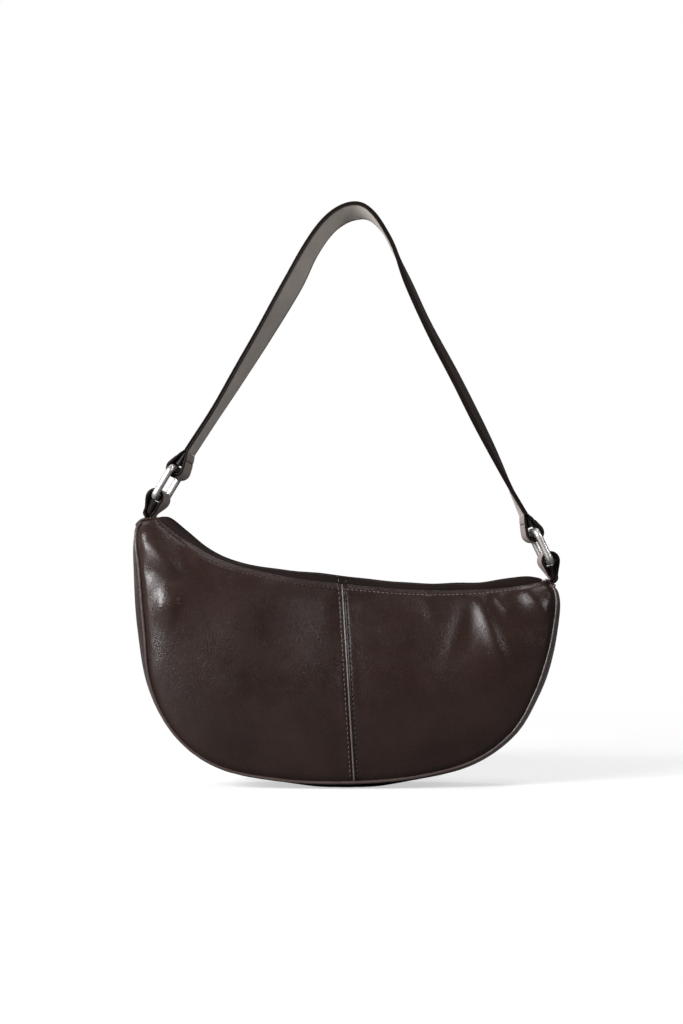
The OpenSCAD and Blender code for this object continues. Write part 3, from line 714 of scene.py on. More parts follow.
# %% [markdown]
# Each half is one leather shell over its part of the surface. A grid of the back is turned round, so that its
# faces point out too. Close to the centre seam the leather is marked dark and dull: painted shade for the
# groove of the seam.

# %% Make the four panel halves
SEAM_SHADE = 0.95
SEAM_SHADE_REACH = 2.7 * MM
for name, us, side in (("front_panel_left", left_us, 1), ("front_panel_right", right_us, 1),
                       ("back_panel_left", left_us, -1), ("back_panel_right", right_us, -1)):
    grid = panel_grid(us, panel_vs, side)
    if side < 0:
        grid = grid[::-1]
    half = leather_shell(name + "_leather", grid, LEATHER_T)
    # Painted shade: a dark, dull band along the centre seam stands in for the shade in its groove
    at = np.array([p.co for p in half.data.vertices])
    share = (at[:, 2] - centre_low[1]) / (centre_high[1] - centre_low[1])
    off = at[:, 0] - lerp(centre_low[0], centre_high[0], share)
    set_paint_and_shade_share(half, SEAM_SHADE * ridge(off, 0.8 * MM, SEAM_SHADE_REACH, 6))
    ready(half, espresso, "bag", "leather", name)

# %% [markdown]
# ## Centre seam, piping and gusset
# Between the two halves of a panel a thin bead of folded leather stands up and catches the light; its leather
# is drawn much paler than the body, a painted highlight. A thicker bead, the piping, runs in the seam between
# panel and gusset, in a leather that is paler too, partly a painted highlight. Both are tubes swept along a
# line, and their radius swells and shrinks a little along the way.

# %% Centre bead and piping
BEAD_R = 0.66 * MM
BEAD_OUT = 0.30 * MM
BEAD_SPAN = 0.012


def swept_tube(name, line, radius, sides):
    """Round tube along a line of points, radius a number or one number for each point."""
    along = unit(np.gradient(line, axis=0))
    across = unit(np.cross(along, (0.0, 1, 0)))
    up = np.cross(across, along)
    radius = np.broadcast_to(radius, len(line))
    turns = np.linspace(0, 2 * np.pi, sides, endpoint=False)
    ring = across[:, None] * np.cos(turns)[:, None] + up[:, None] * np.sin(turns)[:, None]
    return closed_tube(name, line[:, None] + ring * radius[:, None, None])


for word, side in (("front", 1), ("back", -1)):
    vs = np.linspace(0.004, 0.997, 170)
    line = panel_grid(np.array([0.5 - BEAD_SPAN, 0.5 + BEAD_SPAN]), vs, side).mean(0)
    line[:, 0] = panel_grid(np.array([0.5]), vs, 1)[0][:, 0]
    line[:, 1] += side * BEAD_OUT
    swell = 1 + 0.06 * np.sin(line[:, 2] / (5.3 * MM)) + 0.05 * np.sin(line[:, 2] / (2.9 * MM) + 1)
    bead = swept_tube(f"{word}_centre_bead", line, BEAD_R * swell, 10)
    ready(bead, bead_highlight_leather, "bag", "piping_leather")
    us = np.linspace(0, 1, 420)
    centre = seam(us)
    depth = gusset_half(us) - PIPING_R - SOFT_GAP
    route = np.stack([centre[:, 0], -side * depth, centre[:, 1]], -1)
    swell = 1 + 0.03 * np.sin(us * 410) + 0.03 * np.sin(us * 277 + 2)
    piping = swept_tube(f"{word}_piping_bead", route, PIPING_R * swell, 12)
    ready(piping, piping_leather, "bag", "piping_leather", f"{word}_piping")

# %% [markdown]
# The gusset is one long strip that bulges between its two seams and dives into them, and it goes over
# both top corners to meet the zip bands. It is flat on the floor where the bag stands.

# %% The gusset strip
GUSSET_ROOM = SOFT_GAP + 2 * PIPING_R + SOFT_GAP
STRIP_ROOM = GUSSET_ROOM - 0.9 * MM
gusset_dive = (-1.0 * MM, 0, 1.5 * MM)
gusset_row = (-0.22 * MM, STITCH_IN, 0.55 * MM)


def gusset_surface(u, w, out=0.0, room=STRIP_ROOM):
    """Outer face of the gusset: u along the seam, w from -1 at the front seam to 1 at the back seam."""
    half = gusset_half(u) - room
    away = (1 - np.abs(w)) * half
    swell = bulge(u) * (1 - w * w) + seam_forms(away, [gusset_dive, gusset_row])
    run = u * SEAM_LENGTH
    swell = swell + puckers(run, away - 4 * MM, 5 * MM, 3.0) * ridge(away, 0, 9 * MM)
    swell = swell + slow_waves(run, w * half, 0.7) * 0.5 * smooth(away / (8 * MM))
    place = seam(u) - inward(u) * (swell + out)[..., None]
    z = np.maximum(place[..., 1], -out)
    return np.stack([place[..., 0], w * half, z], -1)


def gusset_grid(us, ws, out=0.0, room=STRIP_ROOM):
    return gusset_surface(*np.meshgrid(us, ws, indexing="ij"), out, room)


gusset_us = np.linspace(-CORNER_SHARE, 1 + CORNER_SHARE, 380)
gusset_ws = spaced(-1, 1, 33, [(-1, 0.16, 9), (1, 0.16, 9)])
gusset = leather_shell("gusset_leather", gusset_grid(gusset_us, -gusset_ws[::-1])[:, ::-1], LEATHER_T)
ready(gusset, espresso, "bag", "leather", "gusset")

# %% [markdown]
# ## The mouth: zip bands, covers and lining
# Above each panel a folded band of leather carries the zip. It comes up behind the panel, rounds over
# a soft ridge and drops to the zip tape in the middle. A band is one shell along a smooth section. The
# section is a line through a few points, each a share of the way across and a share of the way up.

# %% Zip bands
BAND_RISE = 6.8 * MM
BAND_TUCK = 3.5 * MM
BAND_LEATHER = 1.2 * MM
ZIP_EDGE = 5.0 * MM
VALLEY_DEPTH = 8.6 * MM
ZIP_RADIUS, ZIP_LOW_X, ZIP_LOW_Z = 600 * MM, 57 * MM, 135.6 * MM
RUFFLE_H = 0.14 * MM
rise_shares = [
    0.10, 1, 0.92, 0.57, 0.36, 0.46, 0.67, 0.78, 0.78,
    0.72, 0.68, 0.67, 0.70, 0.65, 0.83, 0.78, 0.26,
]
band_up_shares = [(1, 0.30), (0.88, 0.85)]
band_down_shares = [(0.70, 1), (0.52, 0.80), (0.34, 0.28), (0.20, 0), (0, 0)]


def zip_z(x):
    """Height of the zip, which hangs in a long shallow arc."""
    return ZIP_LOW_Z + ZIP_RADIUS - np.sqrt(ZIP_RADIUS**2 - (x - ZIP_LOW_X) ** 2)


def band_section(u):
    """Points (out, up) of the band's section for an array of u, from behind the panel to the tape."""
    foot = mouth_half(u) - LEATHER_T - SOFT_GAP
    dark_share = top_edge(u)[..., 1]
    crest = dark_share + BAND_RISE * spline(rise_shares, u)
    laid = np.maximum(zip_z(top_edge(u)[..., 0]), crest - VALLEY_DEPTH) + BAND_LEATHER + SOFT_GAP
    line = [np.stack([foot, dark_share - BAND_TUCK], -1)]
    line += [np.stack([lerp(ZIP_EDGE, foot, s), lerp(dark_share, crest, r)], -1) for s, r in band_up_shares]
    line += [np.stack([lerp(ZIP_EDGE, foot, s), lerp(laid, crest, r)], -1) for s, r in band_down_shares]
    return np.stack(line)


def band_grid(us, steps, side):
    section = band_section(us)
    rows = np.stack([spline(section[:, k], steps) for k in range(len(us))])
    x = top_edge(us)[:, 0][:, None] + 0 * rows[..., 0]
    ruffle = RUFFLE_H * (np.sin(x / (5.2 * MM) + side) + np.sin(x / (8.7 * MM) + 2 * side))
    middle = np.sin(np.pi * steps)[None, :]
    return np.stack([x, -side * (rows[..., 0] + ruffle * middle), rows[..., 1] + ruffle * middle], -1)


band_us = np.linspace(0.004, 0.996, 260)
for word, side in (("front", 1), ("back", -1)):
    grid = band_grid(band_us, np.linspace(0, 1, 34), side)
    if side < 0:
        grid = grid[::-1]
    band = leather_shell(f"zip_band_{word}_leather", grid, BAND_LEATHER)
    ready(band, band_leather, "bag", "leather", f"zip_band_{word}")

# %% [markdown]
# The zip is shorter than the mouth. What is left open at its two ends is closed by small leather
# covers, which lie between the bands at the height of the tape.

# %% Covers at both ends of the zip
ZIP_END_SHARES = (-0.587, 0.787)
COVER_CROWN = 0.25 * MM


def mouth_u(x):
    """The u at which the edge of the mouth passes x."""
    us = np.linspace(0, 1, 2001)
    return float(np.interp(x, top_edge(us)[:, 0], us))


for name, u0, u1 in (("zip_end_left", 0.006, mouth_u(ZIP_END_SHARES[0] * HALF_W)),
                     ("zip_end_right", mouth_u(ZIP_END_SHARES[1] * HALF_W), 0.994)):
    us = np.linspace(u0, u1, 40)
    section = band_section(us)
    ys = np.linspace(-1, 1, 9) * (ZIP_EDGE - SOFT_GAP)
    z = section[-1, :, 1][:, None] + COVER_CROWN * np.cos(ys / ys[-1] * np.pi / 2)[None, :]
    x = top_edge(us)[:, 0][:, None] + 0 * z
    cover = leather_shell(name + "_leather", np.stack([x, ys[None, :] + 0 * z, z], -1), BAND_LEATHER)
    ready(cover, band_leather, "bag", "leather", name)

# %% [markdown]
# The lining is thin cloth inside the panels and the gusset, with a patch pocket on the back one. It is
# hidden while the bag is closed, yet it is made as cloth too: it hangs a little slack between its seams.

# %% Lining and pocket
CLOTH_T = 0.5 * MM
LINING_U = (0.0625, 0.9375)
LINING_ROOM = PIPING_R + SOFT_GAP + LEATHER_T + SOFT_GAP
LINING_DROP = BAND_TUCK + 2 * BAND_LEATHER
LINING_SLACK = 0.5 * MM
POCKET_IN = CLOTH_T + 2.2 * SOFT_GAP


def lining_grid(us, vs, side, deeper):
    """Outer face of cloth that hangs inside a panel, set in by deeper."""
    u, v = np.meshgrid(us, vs, indexing="ij")
    end = top_edge(u)
    low = seam(u) + inward(u) * LINING_ROOM
    way = seam(u) - end
    reach = np.linalg.norm(way, axis=-1)
    high = end + unit(way) * LINING_DROP
    share = 1 - LINING_DROP / np.maximum(reach, LINING_DROP + SOFT_GAP)
    vv = v * share
    depth = lerp(gusset_half(u), mouth_half(u), vv) + PANEL_SWELL * arch(u, 0.8) * belly(np.maximum(vv, 0))
    depth = depth - LEATHER_T - 1.9 * SOFT_GAP - deeper
    place = low + (high - low) * v[..., None]
    hang = np.sin(np.pi * v) ** 2 * (1 + np.sin(place[..., 0] / (13 * MM) + side) * 0.8) * LINING_SLACK
    return np.stack([place[..., 0], -side * (depth - hang), place[..., 1]], -1)


for name, side, us, vs, deeper in (
        ("lining_front", 1, np.linspace(*LINING_U, 90), np.linspace(0, 1, 40), 0.0),
        ("lining_back", -1, np.linspace(*LINING_U, 90), np.linspace(0, 1, 40), 0.0),
        ("slip_pocket", -1, np.linspace(0.36, 0.62, 50), np.linspace(0.30, 0.86, 30), POCKET_IN)):
    grid = lining_grid(us, vs, side, deeper)
    if side < 0:
        grid = grid[::-1]
    cloth = leather_shell(name + "_cloth", grid, CLOTH_T, 2)
    ready(cloth, lining_cloth, "bag", "lining_cloth", name)

grid = gusset_grid(np.linspace(*LINING_U, 150), np.linspace(1, -1, 17), -LEATHER_T - 1.6 * SOFT_GAP,
                   GUSSET_ROOM + LEATHER_T)
cloth = leather_shell("lining_gusset_cloth", grid, CLOTH_T, 2)
ready(cloth, lining_cloth, "bag", "lining_cloth", "lining_gusset")

# %% [markdown]
# ## The zip
# Tape, teeth, stops, slider and puller keep the shapes of the model, because each tooth has to stay
# where the slider finds it. They only get their finish and, on the metal, a small bevel that catches
# the light the way a tumbled casting does.

# %% Dress the zip


def dress(node, material, bevel=0.0):
    """Gives a solid of the model its finish and, where bevel isn't 0, rounded edges."""
    piece = bpy.data.objects[node]
    piece.data.materials.clear()
    piece.data.materials.append(material)
    if bevel:
        rounding = piece.modifiers.new("soft_edge", "BEVEL")
        rounding.width = bevel
        rounding.segments = 2
        rounding.limit_method = "ANGLE"
        rounding.angle_limit = math.radians(40)
        rounding.harden_normals = True
    return piece


for node in ("zip_tape_front", "zip_tape_back"):
    dress(node, tape_cloth)
for node, bevel in (("zip_teeth_front", 0.14), ("zip_teeth_back", 0.14), ("zip_stops", 0.15),
                    ("zip_slider", 0.2), ("zip_puller", 0.3)):
    dress(node, zip_metal, bevel * MM)

# %% [markdown]
# ## Strap, rings and tabs
# A flat strap of two leather layers arches over the bag and twists as it goes, so that part of it shows
# its dark outer face and part its paler inner face. Each end is folded round a metal ring and sewn back
# on itself, and each ring hangs in a leather tab that is sewn over the bag's corner.

# %% Places and directions of the strap hardware
STRAP_TOP = 410 * MM
STRAP_W = 20 * MM
PLY = 2.6 * MM
EYE_R = 4.2 * MM
STRAP_END_L = 14 * MM
BAR_D = 5 * MM
RING_L = 23.6 * MM
RING_CORNER = 3.8 * MM
TAB_NECK_W = 5.5 * MM
TAB_L = (10.6 * MM, 11.8 * MM)
EYE_GAP = 0.6 * MM
strap_shares = [
    (-0.631, 0.319), (-0.522, 0.437), (-0.385, 0.590), (-0.256, 0.740), (-0.176, 0.844),
    (-0.097, 0.920), (-0.022, 0.961), (0.050, 0.974), (0.115, 0.958), (0.174, 0.912),
    (0.224, 0.847), (0.287, 0.746), (0.373, 0.618), (0.514, 0.437), (0.674, 0.222),
]
tab_neck_us = (-0.035, 1.012)
tab_foot_us = ((-0.055, 0.02), (0.975, 1.04))

# Angles in degrees, the twist at each point of the strap, and of each pair the left one first
strap_twist = np.array([15, 15, 22, 31, 38, 31, 30, 32, 28, 10, 0, -1, -12, -14, -18, -15, 7], float)
tab_lean = (29.4, -16)
ring_lean = (31, -25.5)
ring_turn = (14, -6)
tab_eye_angle = (190, 60)
strap_eye_angle = (0, 245)


def lean_dir(angle):
    """Direction in the front view that leans from upright to the right by the angle."""
    return np.array([math.sin(math.radians(angle)), 0, math.cos(math.radians(angle))])


def offset_dir(angle):
    """Direction in the front view at an angle that runs anticlockwise from the right."""
    return np.array([math.cos(math.radians(angle)), 0, math.sin(math.radians(angle))])


def face_of(a):
    """Directions a turned by a right angle in the front view."""
    return np.stack([a[..., 2], 0 * a[..., 0], -a[..., 0]], -1)


def bar_dir(a, turn):
    """Direction of a bar across a: straight back, or turned round a by the angle."""
    turn = np.radians(turn)[..., None] if np.ndim(turn) else math.radians(turn)
    return np.cos(turn) * np.array([0.0, 1, 0]) + np.sin(turn) * face_of(a)


def spot(p):
    """A point of the front view as a place in the bag's middle plane."""
    return np.array([p[0], 0, p[1]])


def foot_point(u, w, out):
    """Places on the plain gusset, without its small forms, moved out from it."""
    u, w = np.broadcast_arrays(np.asarray(u, float), np.asarray(w, float))
    place = seam(u) - inward(u) * (bulge(u) * (1 - w * w) + out)[..., None]
    return np.stack([place[..., 0], w * (gusset_half(u) - GUSSET_ROOM), place[..., 1]], -1)


play = EYE_R - BAR_D / 2 - EYE_GAP
necks, tab_eyes, low_bars, high_bars, strap_eyes = [], [], [], [], []
for i in (0, 1):
    normal = spot(-inward(np.array(tab_neck_us[i])))
    neck = foot_point(tab_neck_us[i], 0, SOFT_GAP + LEATHER_T) + normal * (TAB_NECK_W / 2 + SOFT_GAP)
    necks.append(neck)
    tab_eyes.append(neck + lean_dir(tab_lean[i]) * TAB_L[i])
    low_bars.append(tab_eyes[i] - offset_dir(tab_eye_angle[i]) * play)
    high_bars.append(low_bars[i] + lean_dir(ring_lean[i]) * RING_L)
    strap_eyes.append(high_bars[i] + offset_dir(strap_eye_angle[i]) * play)
arch_points = [spot((x * HALF_W, lerp(CORNER_H, STRAP_TOP, s))) for x, s in strap_shares]
strap_feet = [strap_eyes[i] + unit(arch_points[-i] - strap_eyes[i]) * STRAP_END_L for i in (0, 1)]
strap_points = np.array([strap_feet[0], *arch_points, strap_feet[1]])
for i, word in enumerate(("left", "right")):
    print(word, "neck", np.round(necks[i] / MM, 1), "ring bars", np.round(low_bars[i] / MM, 1),
          np.round(high_bars[i] / MM, 1))

# %% [markdown]
# The rings are bent from round bar into rounded rectangles and brazed shut. The bar is swept round its
# own path. Its section is a touch flat on four sides, where it was pressed, and its thickness varies a
# little, which makes the long highlight on a real ring waver.

# %% Rings
RING_SLACK = 1.2 * MM
RING_STEP = 1.1 * MM


def ring_path(corner_points=9):
    """Rounded rectangle of points, x along the ring's length and y across it."""
    half_l, half_w = RING_L / 2, STRAP_W / 2 + RING_SLACK + BAR_D / 2
    r = RING_CORNER
    corners = [(half_l - r, half_w - r, 0), (-half_l + r, half_w - r, 90),
               (-half_l + r, -half_w + r, 180), (half_l - r, -half_w + r, 270)]
    points = []
    for x, y, start in corners:
        for turn in np.radians(np.linspace(start, start + 90, corner_points)):
            points.append((x + r * math.cos(turn), y + r * math.sin(turn)))
    points = np.array(points)
    spread = []
    for a, b in zip(points, np.roll(points, -1, axis=0)):
        pieces = max(1, int(np.linalg.norm(b - a) / RING_STEP))
        spread += [lerp(a, b, k / pieces) for k in range(pieces)]
    return np.array(spread)


def ring_bar(name, i):
    """The bent bar of one ring, its thickness a little uneven and its section a little flat."""
    centre = (low_bars[i] + high_bars[i]) / 2
    a = lean_dir(ring_lean[i])
    b = bar_dir(a, ring_turn[i])
    face = np.cross(b, a)
    path = ring_path()
    way = unit(np.roll(path, -1, axis=0) - np.roll(path, 1, axis=0))
    outward = way[:, 1:] * a - way[:, :1] * b
    run = np.arange(len(path)) / len(path) * 2 * np.pi
    radius = BAR_D / 2 * (1 - 0.006 * np.sin(7 * run) - 0.010 * np.sin(3 * run + 1))
    turns = np.linspace(0, 2 * np.pi, 28, endpoint=False)
    flat = 1 - 0.035 * np.cos(2 * turns) ** 2
    section = np.cos(turns)[None, :, None] * outward[:, None, :] + np.sin(turns)[None, :, None] * face
    middle_line = centre + path[:, :1] * a + path[:, 1:] * b
    points = middle_line[:, None] + section * (radius[:, None] * flat[None, :])[..., None]
    return closed_tube(name, points, closed_path=True)


for i, word in enumerate(("left", "right")):
    ready(ring_bar(f"ring_{word}_bar", i), ring_metal, f"{word}_ring", "ring_metal", f"ring_{word}")

# %% [markdown]
# Both layers of the strap follow one spline. At each place the layer is a flat section with rounded
# edges, turned by the twist at that place. The rounded edges are marked for the dark paint, which the
# maker puts on with a brush.

# %% Strap layers
STRAP_LAYER = 1.5 * MM
STRAP_NIB = 0.004
EDGE_REACH = 1.15 * MM
LAYER_CROWN = 0.16 * MM
LAYER_RIPPLE = 0.10 * MM


def strap_frames(us):
    """Places along the strap, the direction of its width and the one from its outer to its inner layer."""
    place = spline(strap_points, us)
    ahead, behind = np.minimum(us + STRAP_NIB, 1), np.maximum(us - STRAP_NIB, 0)
    along = unit(spline(strap_points, ahead) - spline(strap_points, behind))
    across = bar_dir(along, spline(strap_twist, us))
    return place, across, np.cross(across, along)


def flat_section(width, thickness, columns=14, corner=4):
    """Points (across, deep) of a strip with half round edges, and how far each belongs to an edge."""
    half, r = width / 2, thickness / 2
    reach = np.linspace(-1, 1, columns) * (half - r)
    turns = np.linspace(90, -90, corner + 2)[1:-1]
    right = [(half - r + r * math.cos(math.radians(t)), r * math.sin(math.radians(t))) for t in turns]
    left = [(-x, -y) for x, y in right]
    points = np.array([(x, r) for x in reach] + right + [(x, -r) for x in reach[::-1]] + left)
    dark_share = smooth((np.abs(points[:, 0]) - (half - EDGE_REACH)) / (0.55 * MM))
    return points, dark_share


strap_line, strap_across, strap_deep = strap_frames(np.linspace(0, 1, 380))
strap_run = np.concatenate([[0], np.cumsum(np.linalg.norm(np.diff(strap_line, axis=0), axis=1))])
print("strap between the ring folds is", round(strap_run[-1] / MM), "mm long")
for name, at, width, material, slot in (
        ("strap_outer", -STRAP_LAYER / 2, STRAP_W, strap_leather, "leather"),
        ("strap_inner", STRAP_LAYER / 2, STRAP_W - 0.5 * MM, strap_lining, "strap_lining")):
    section, dark_share = flat_section(width, STRAP_LAYER)
    free_face = np.sign(section[:, 1]) == np.sign(at)
    crown = LAYER_CROWN * np.sign(at) * (1 - (section[:, 0] / (width / 2)) ** 2) * free_face
    ripple = LAYER_RIPPLE * np.outer(np.sin(strap_run / (9 * MM)), np.sin(section[:, 0] / (4 * MM) + 1))
    deep = at + section[:, 1] + crown
    points = (strap_line[:, None] + strap_across[:, None] * section[None, :, :1]
              + strap_deep[:, None] * (deep[None, :] + ripple)[..., None])
    layer = closed_tube(name + "_layer", points)
    set_paint_and_shade_share(layer, np.broadcast_to(dark_share, points.shape[:2]))
    ready(layer, material, "strap", slot, name)

# %% [markdown]
# A fold of leather round a ring is a strip bent into a drop: straight, round the bar, and straight back. One
# helper bends such a strip. It gets the middle line of the drop, a thickness and a width for each place along
# it. It marks for the dark colour the cut edges, which are painted, and the flank that looks away from the
# bag, which is the dark outer ply. It also marks, as painted shade, the face that lies against the bar in the
# hollow of the fold and the dent along the seam.

# %% Bend a strip
FLANK_PAINT = 0.88


def bent_strip(name, line, side, thickness, width, columns=12, eye=None, seam_at=None, dark_side=None):
    """Strip along a line of points, with side as the direction of its width.

    The eye is the middle of the bar, seam_at the distance of a seam from it, and dark_side the
    direction in which the painted flank looks.
    """
    t = unit(np.gradient(line, axis=0))
    side = np.broadcast_to(side, line.shape)
    out = unit(np.cross(t, side))
    rings, marks = [], []
    for p, b, c, thick, wide in zip(line, side, out, np.broadcast_to(thickness, len(line)),
                                    np.broadcast_to(width, len(line))):
        section, dark_share = flat_section(wide, thick, columns)
        ring = p + b * section[:, :1] + c * section[:, 1:]
        # Painted shade: the face that lies against the bar, in the hollow of the fold, turns dark
        if eye is not None:
            flat = [np.linalg.norm(q - (q @ b)[..., None] * b, axis=-1) for q in (ring - eye, p - eye)]
            dark_share = np.maximum(dark_share, smooth((flat[1] - flat[0]) / (0.5 * MM)))
        # Painted shade: a dark line in the dent of the seam
        if seam_at is not None:
            dark_share = np.maximum(dark_share, ridge(np.linalg.norm(p - eye), seam_at, 0.35 * MM))
        if dark_side is not None:
            dark_share = np.maximum(dark_share, FLANK_PAINT * smooth(((p - eye) @ dark_side) / (2 * MM) + 0.5))
        rings.append(ring)
        marks.append(dark_share)
    strip = closed_tube(name, np.array(rings))
    set_paint_and_shade_share(strip, np.array(marks))
    return strip


print("one section of a strip has", len(flat_section(STRAP_W, PLY, 12)[0]), "points")

# %% [markdown]
# The drop itself is an arc round the bar with two straight legs that touch it. Between the legs a wedge of
# leather fills the fold, so that no hole is left between the bar and the seam. The wedge is drawn near-black,
# as painted shade for the dark hollow inside the fold.

# %% The shape of a fold
CORE_LEAST = 0.15 * MM


def drop_line(reach, near, far, count=40, straight=30):
    """Middle line of a drop, as (along, across): from (reach, near) round the eye to (reach, far)."""
    r = EYE_R + PLY / 2
    start, stop = [math.atan2(end, reach) + math.copysign(math.acos(r / math.hypot(reach, end)), end)
                   for end in (near, far)]
    turns = np.linspace(start, stop + math.copysign(2 * math.pi, near), count)
    arc = np.stack([r * np.cos(turns), r * np.sin(turns)], -1)
    first, last = np.array([reach, near]), np.array([reach, far])
    into = np.linspace(0, 1, straight, endpoint=False)[:, None]
    back = arc[-1] + (last - arc[-1]) * (into + 1 / straight)
    return np.concatenate([first + (arc[0] - first) * into, arc, back])


def core(name, eye, a, b, spread, width):
    """Wedge of leather between the two plies of a fold.

    It runs along a, away from the eye, and is as wide as width says along b. The first row of spread
    is distances from the eye and the second is half its thickness there.
    """
    away = np.linspace(spread[0][0], spread[0][-1], 9)
    half = np.maximum(np.interp(away, *spread), CORE_LEAST)
    return bent_strip(name, eye + away[:, None] * a, b, 2 * half, width, 6)


def eye_half(start):
    """Half the height of the eye's round hole at a distance from its middle."""
    return math.sqrt(EYE_R**2 - min(start, EYE_R) ** 2)


def outer_side(i, across):
    """The direction across that looks away from the middle of the bag."""
    return across * math.copysign(1, across[0]) * (-1, 1)[i]


print("the inside of a fold is round, radius", round(EYE_R / MM, 1), "mm, and the bar's is", BAR_D / 2 / MM)

# %% [markdown]
# Each end of the strap is such a fold. Its two plies are full round the bar, pressed together along the
# dent of a seam, and pared thin towards their tips, where they close round the strap.

# %% Strap ends
END_SEAM = 8.8
END_SIDES = (-1.25 * MM, 1.35 * MM)
CORE_END = 13 * MM
CORE_FROM_BAR = (0.5 * MM, 1.4 * MM)
for i, word in enumerate(("left", "right")):
    a = unit(strap_feet[i] - strap_eyes[i])
    turn = strap_twist[0] if i == 0 else -strap_twist[-1]
    b = bar_dir(a, turn)
    c = np.cross(b, a)
    inside = 1 if i == 0 else -1
    drop = drop_line(STRAP_END_L - 0.2 * MM, END_SIDES[0] * inside, END_SIDES[1] * inside)
    line = strap_eyes[i] + drop[:, :1] * a + drop[:, 1:] * c
    away = np.linalg.norm(drop, axis=1) / MM
    thick = lerp(2.45, 1.9, smooth((away - 7) / 3)) - 1.1 * smooth((away - 10.2) / 3.6)
    thick = (thick - 0.75 * ridge(away, END_SEAM, 0.45)) * MM
    fold = bent_strip(f"strap_end_{word}_fold", line, b, thick, STRAP_W - 0.2 * MM, eye=strap_eyes[i],
                      seam_at=END_SEAM * MM, dark_side=outer_side(i, c))
    ready(fold, pale_ply_and_sheen_leather, "strap", "leather", f"strap_end_{word}")
    start = max((high_bars[i] - strap_eyes[i]) @ a, 0) + BAR_D / 2 + CORE_FROM_BAR[i]
    gap = ((start, 4.4 * MM, CORE_END), (eye_half(start), 2.35 * MM, 0.5 * MM))
    wedge = core(f"strap_end_{word}_core", strap_eyes[i], a, b, gap, STRAP_W - 3 * MM)
    # The wedge is near-black, painted shade for the hollow of the fold
    ready(wedge, fold_shade_paint, "strap", "leather")

# %% [markdown]
# A tab is the same kind of fold, but cut to a neck so that the ring can swing to the front and back.
# Its patch is sewn on the corner of the gusset and stays with the bag, while the loop moves.

# %% Tabs
TAB_NECK_PLY = (3.3 * MM, 2.1 * MM)
TAB_NECK_WIDE, TAB_FOOT_WIDE = 8.6, 4.4
FLEX_REACH = 2.6 * MM
tab_root_us = ((-0.0425, -0.0265), (1.0005, 1.0205))


def bend(start, control, end, count=12):
    """Points of a plain curve from start, not including end, pulled towards control."""
    t = np.linspace(0, 1, count, endpoint=False)[:, None]
    return (1 - t) ** 2 * start + 2 * t * (1 - t) * control + t**2 * end


for i, word in enumerate(("left", "right")):
    a = lean_dir(tab_lean[i])
    b = bar_dir(a, ring_turn[i])
    c = np.cross(b, a)
    drop = drop_line(TAB_L[i], -TAB_NECK_PLY[i], TAB_NECK_PLY[i], 48)
    loop = tab_eyes[i] - drop[:, :1] * a + drop[:, 1:] * c
    roots = sorted((foot_point(u, 0.0, LEATHER_T * 0.8) for u in tab_root_us[i]), key=lambda p: p @ c)
    low, high = (neck_side - a * FLEX_REACH for neck_side in (loop[0], loop[-1]))
    line = np.concatenate([bend(roots[0], low, loop[0]), loop, bend(roots[1], high, loop[-1])[::-1]])
    along = -(line - tab_eyes[i]) @ a / MM
    neck_at = TAB_L[i] / MM
    wide = lerp(STRAP_W / MM - 1.2, TAB_NECK_WIDE, smooth((along - 1.5) / (neck_at - 2.0)))
    wide = wide + TAB_FOOT_WIDE * smooth((along - neck_at - 0.3) / 3)
    thick = lerp(2.5, 2.1, smooth((along - 3) / (neck_at - 3)))
    fold = bent_strip(f"tab_{word}_fold", line, b, thick * MM, wide * MM, eye=tab_eyes[i],
                      dark_side=outer_side(i, c))
    fold.data.materials.append(pale_ply_and_sheen_leather)
    start = (tab_eyes[i] - low_bars[i]) @ a + BAR_D / 2 + 0.5 * MM
    stop = TAB_L[i] + 2.2 * MM
    gap = ((start, 4.4 * MM, stop), (eye_half(start), 2.75 * MM, TAB_NECK_PLY[i] - 0.9 * MM))
    wedge = core(f"tab_{word}_core", tab_eyes[i], -a, b, gap, np.linspace(15, 7, 9) * MM)
    # The wedge is near-black, painted shade for the hollow of the fold
    wedge.data.materials.append(fold_shade_paint)
    for piece in (fold, wedge):
        face_out(piece)
        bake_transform(piece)
    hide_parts(f"tab_{word}_loop")
    us = np.linspace(*tab_foot_us[i], 40)
    ws = np.linspace(0.72, -0.72, 25)
    corner = gusset_grid(us, ws, SOFT_GAP * 0.4 + LEATHER_T, GUSSET_ROOM)
    patch = leather_shell(f"tab_{word}_patch", corner, LEATHER_T)
    ready(patch, espresso, "bag", "leather", f"tab_{word}")

# %% [markdown]
# ## Stitches
# A row of stitches is one short form repeated at an even pitch, which is what Geometry Nodes does best.
# The node tree below turns a drawn line into points at that pitch, puts a small rounded stitch on each,
# turns it along the line, tips it a little and varies it, and makes real mesh of the result. It is
# built once, and each row only sets its inputs.

# %% The node tree for a row of stitches
STITCH_SIDES, STITCH_RINGS = 8, 6


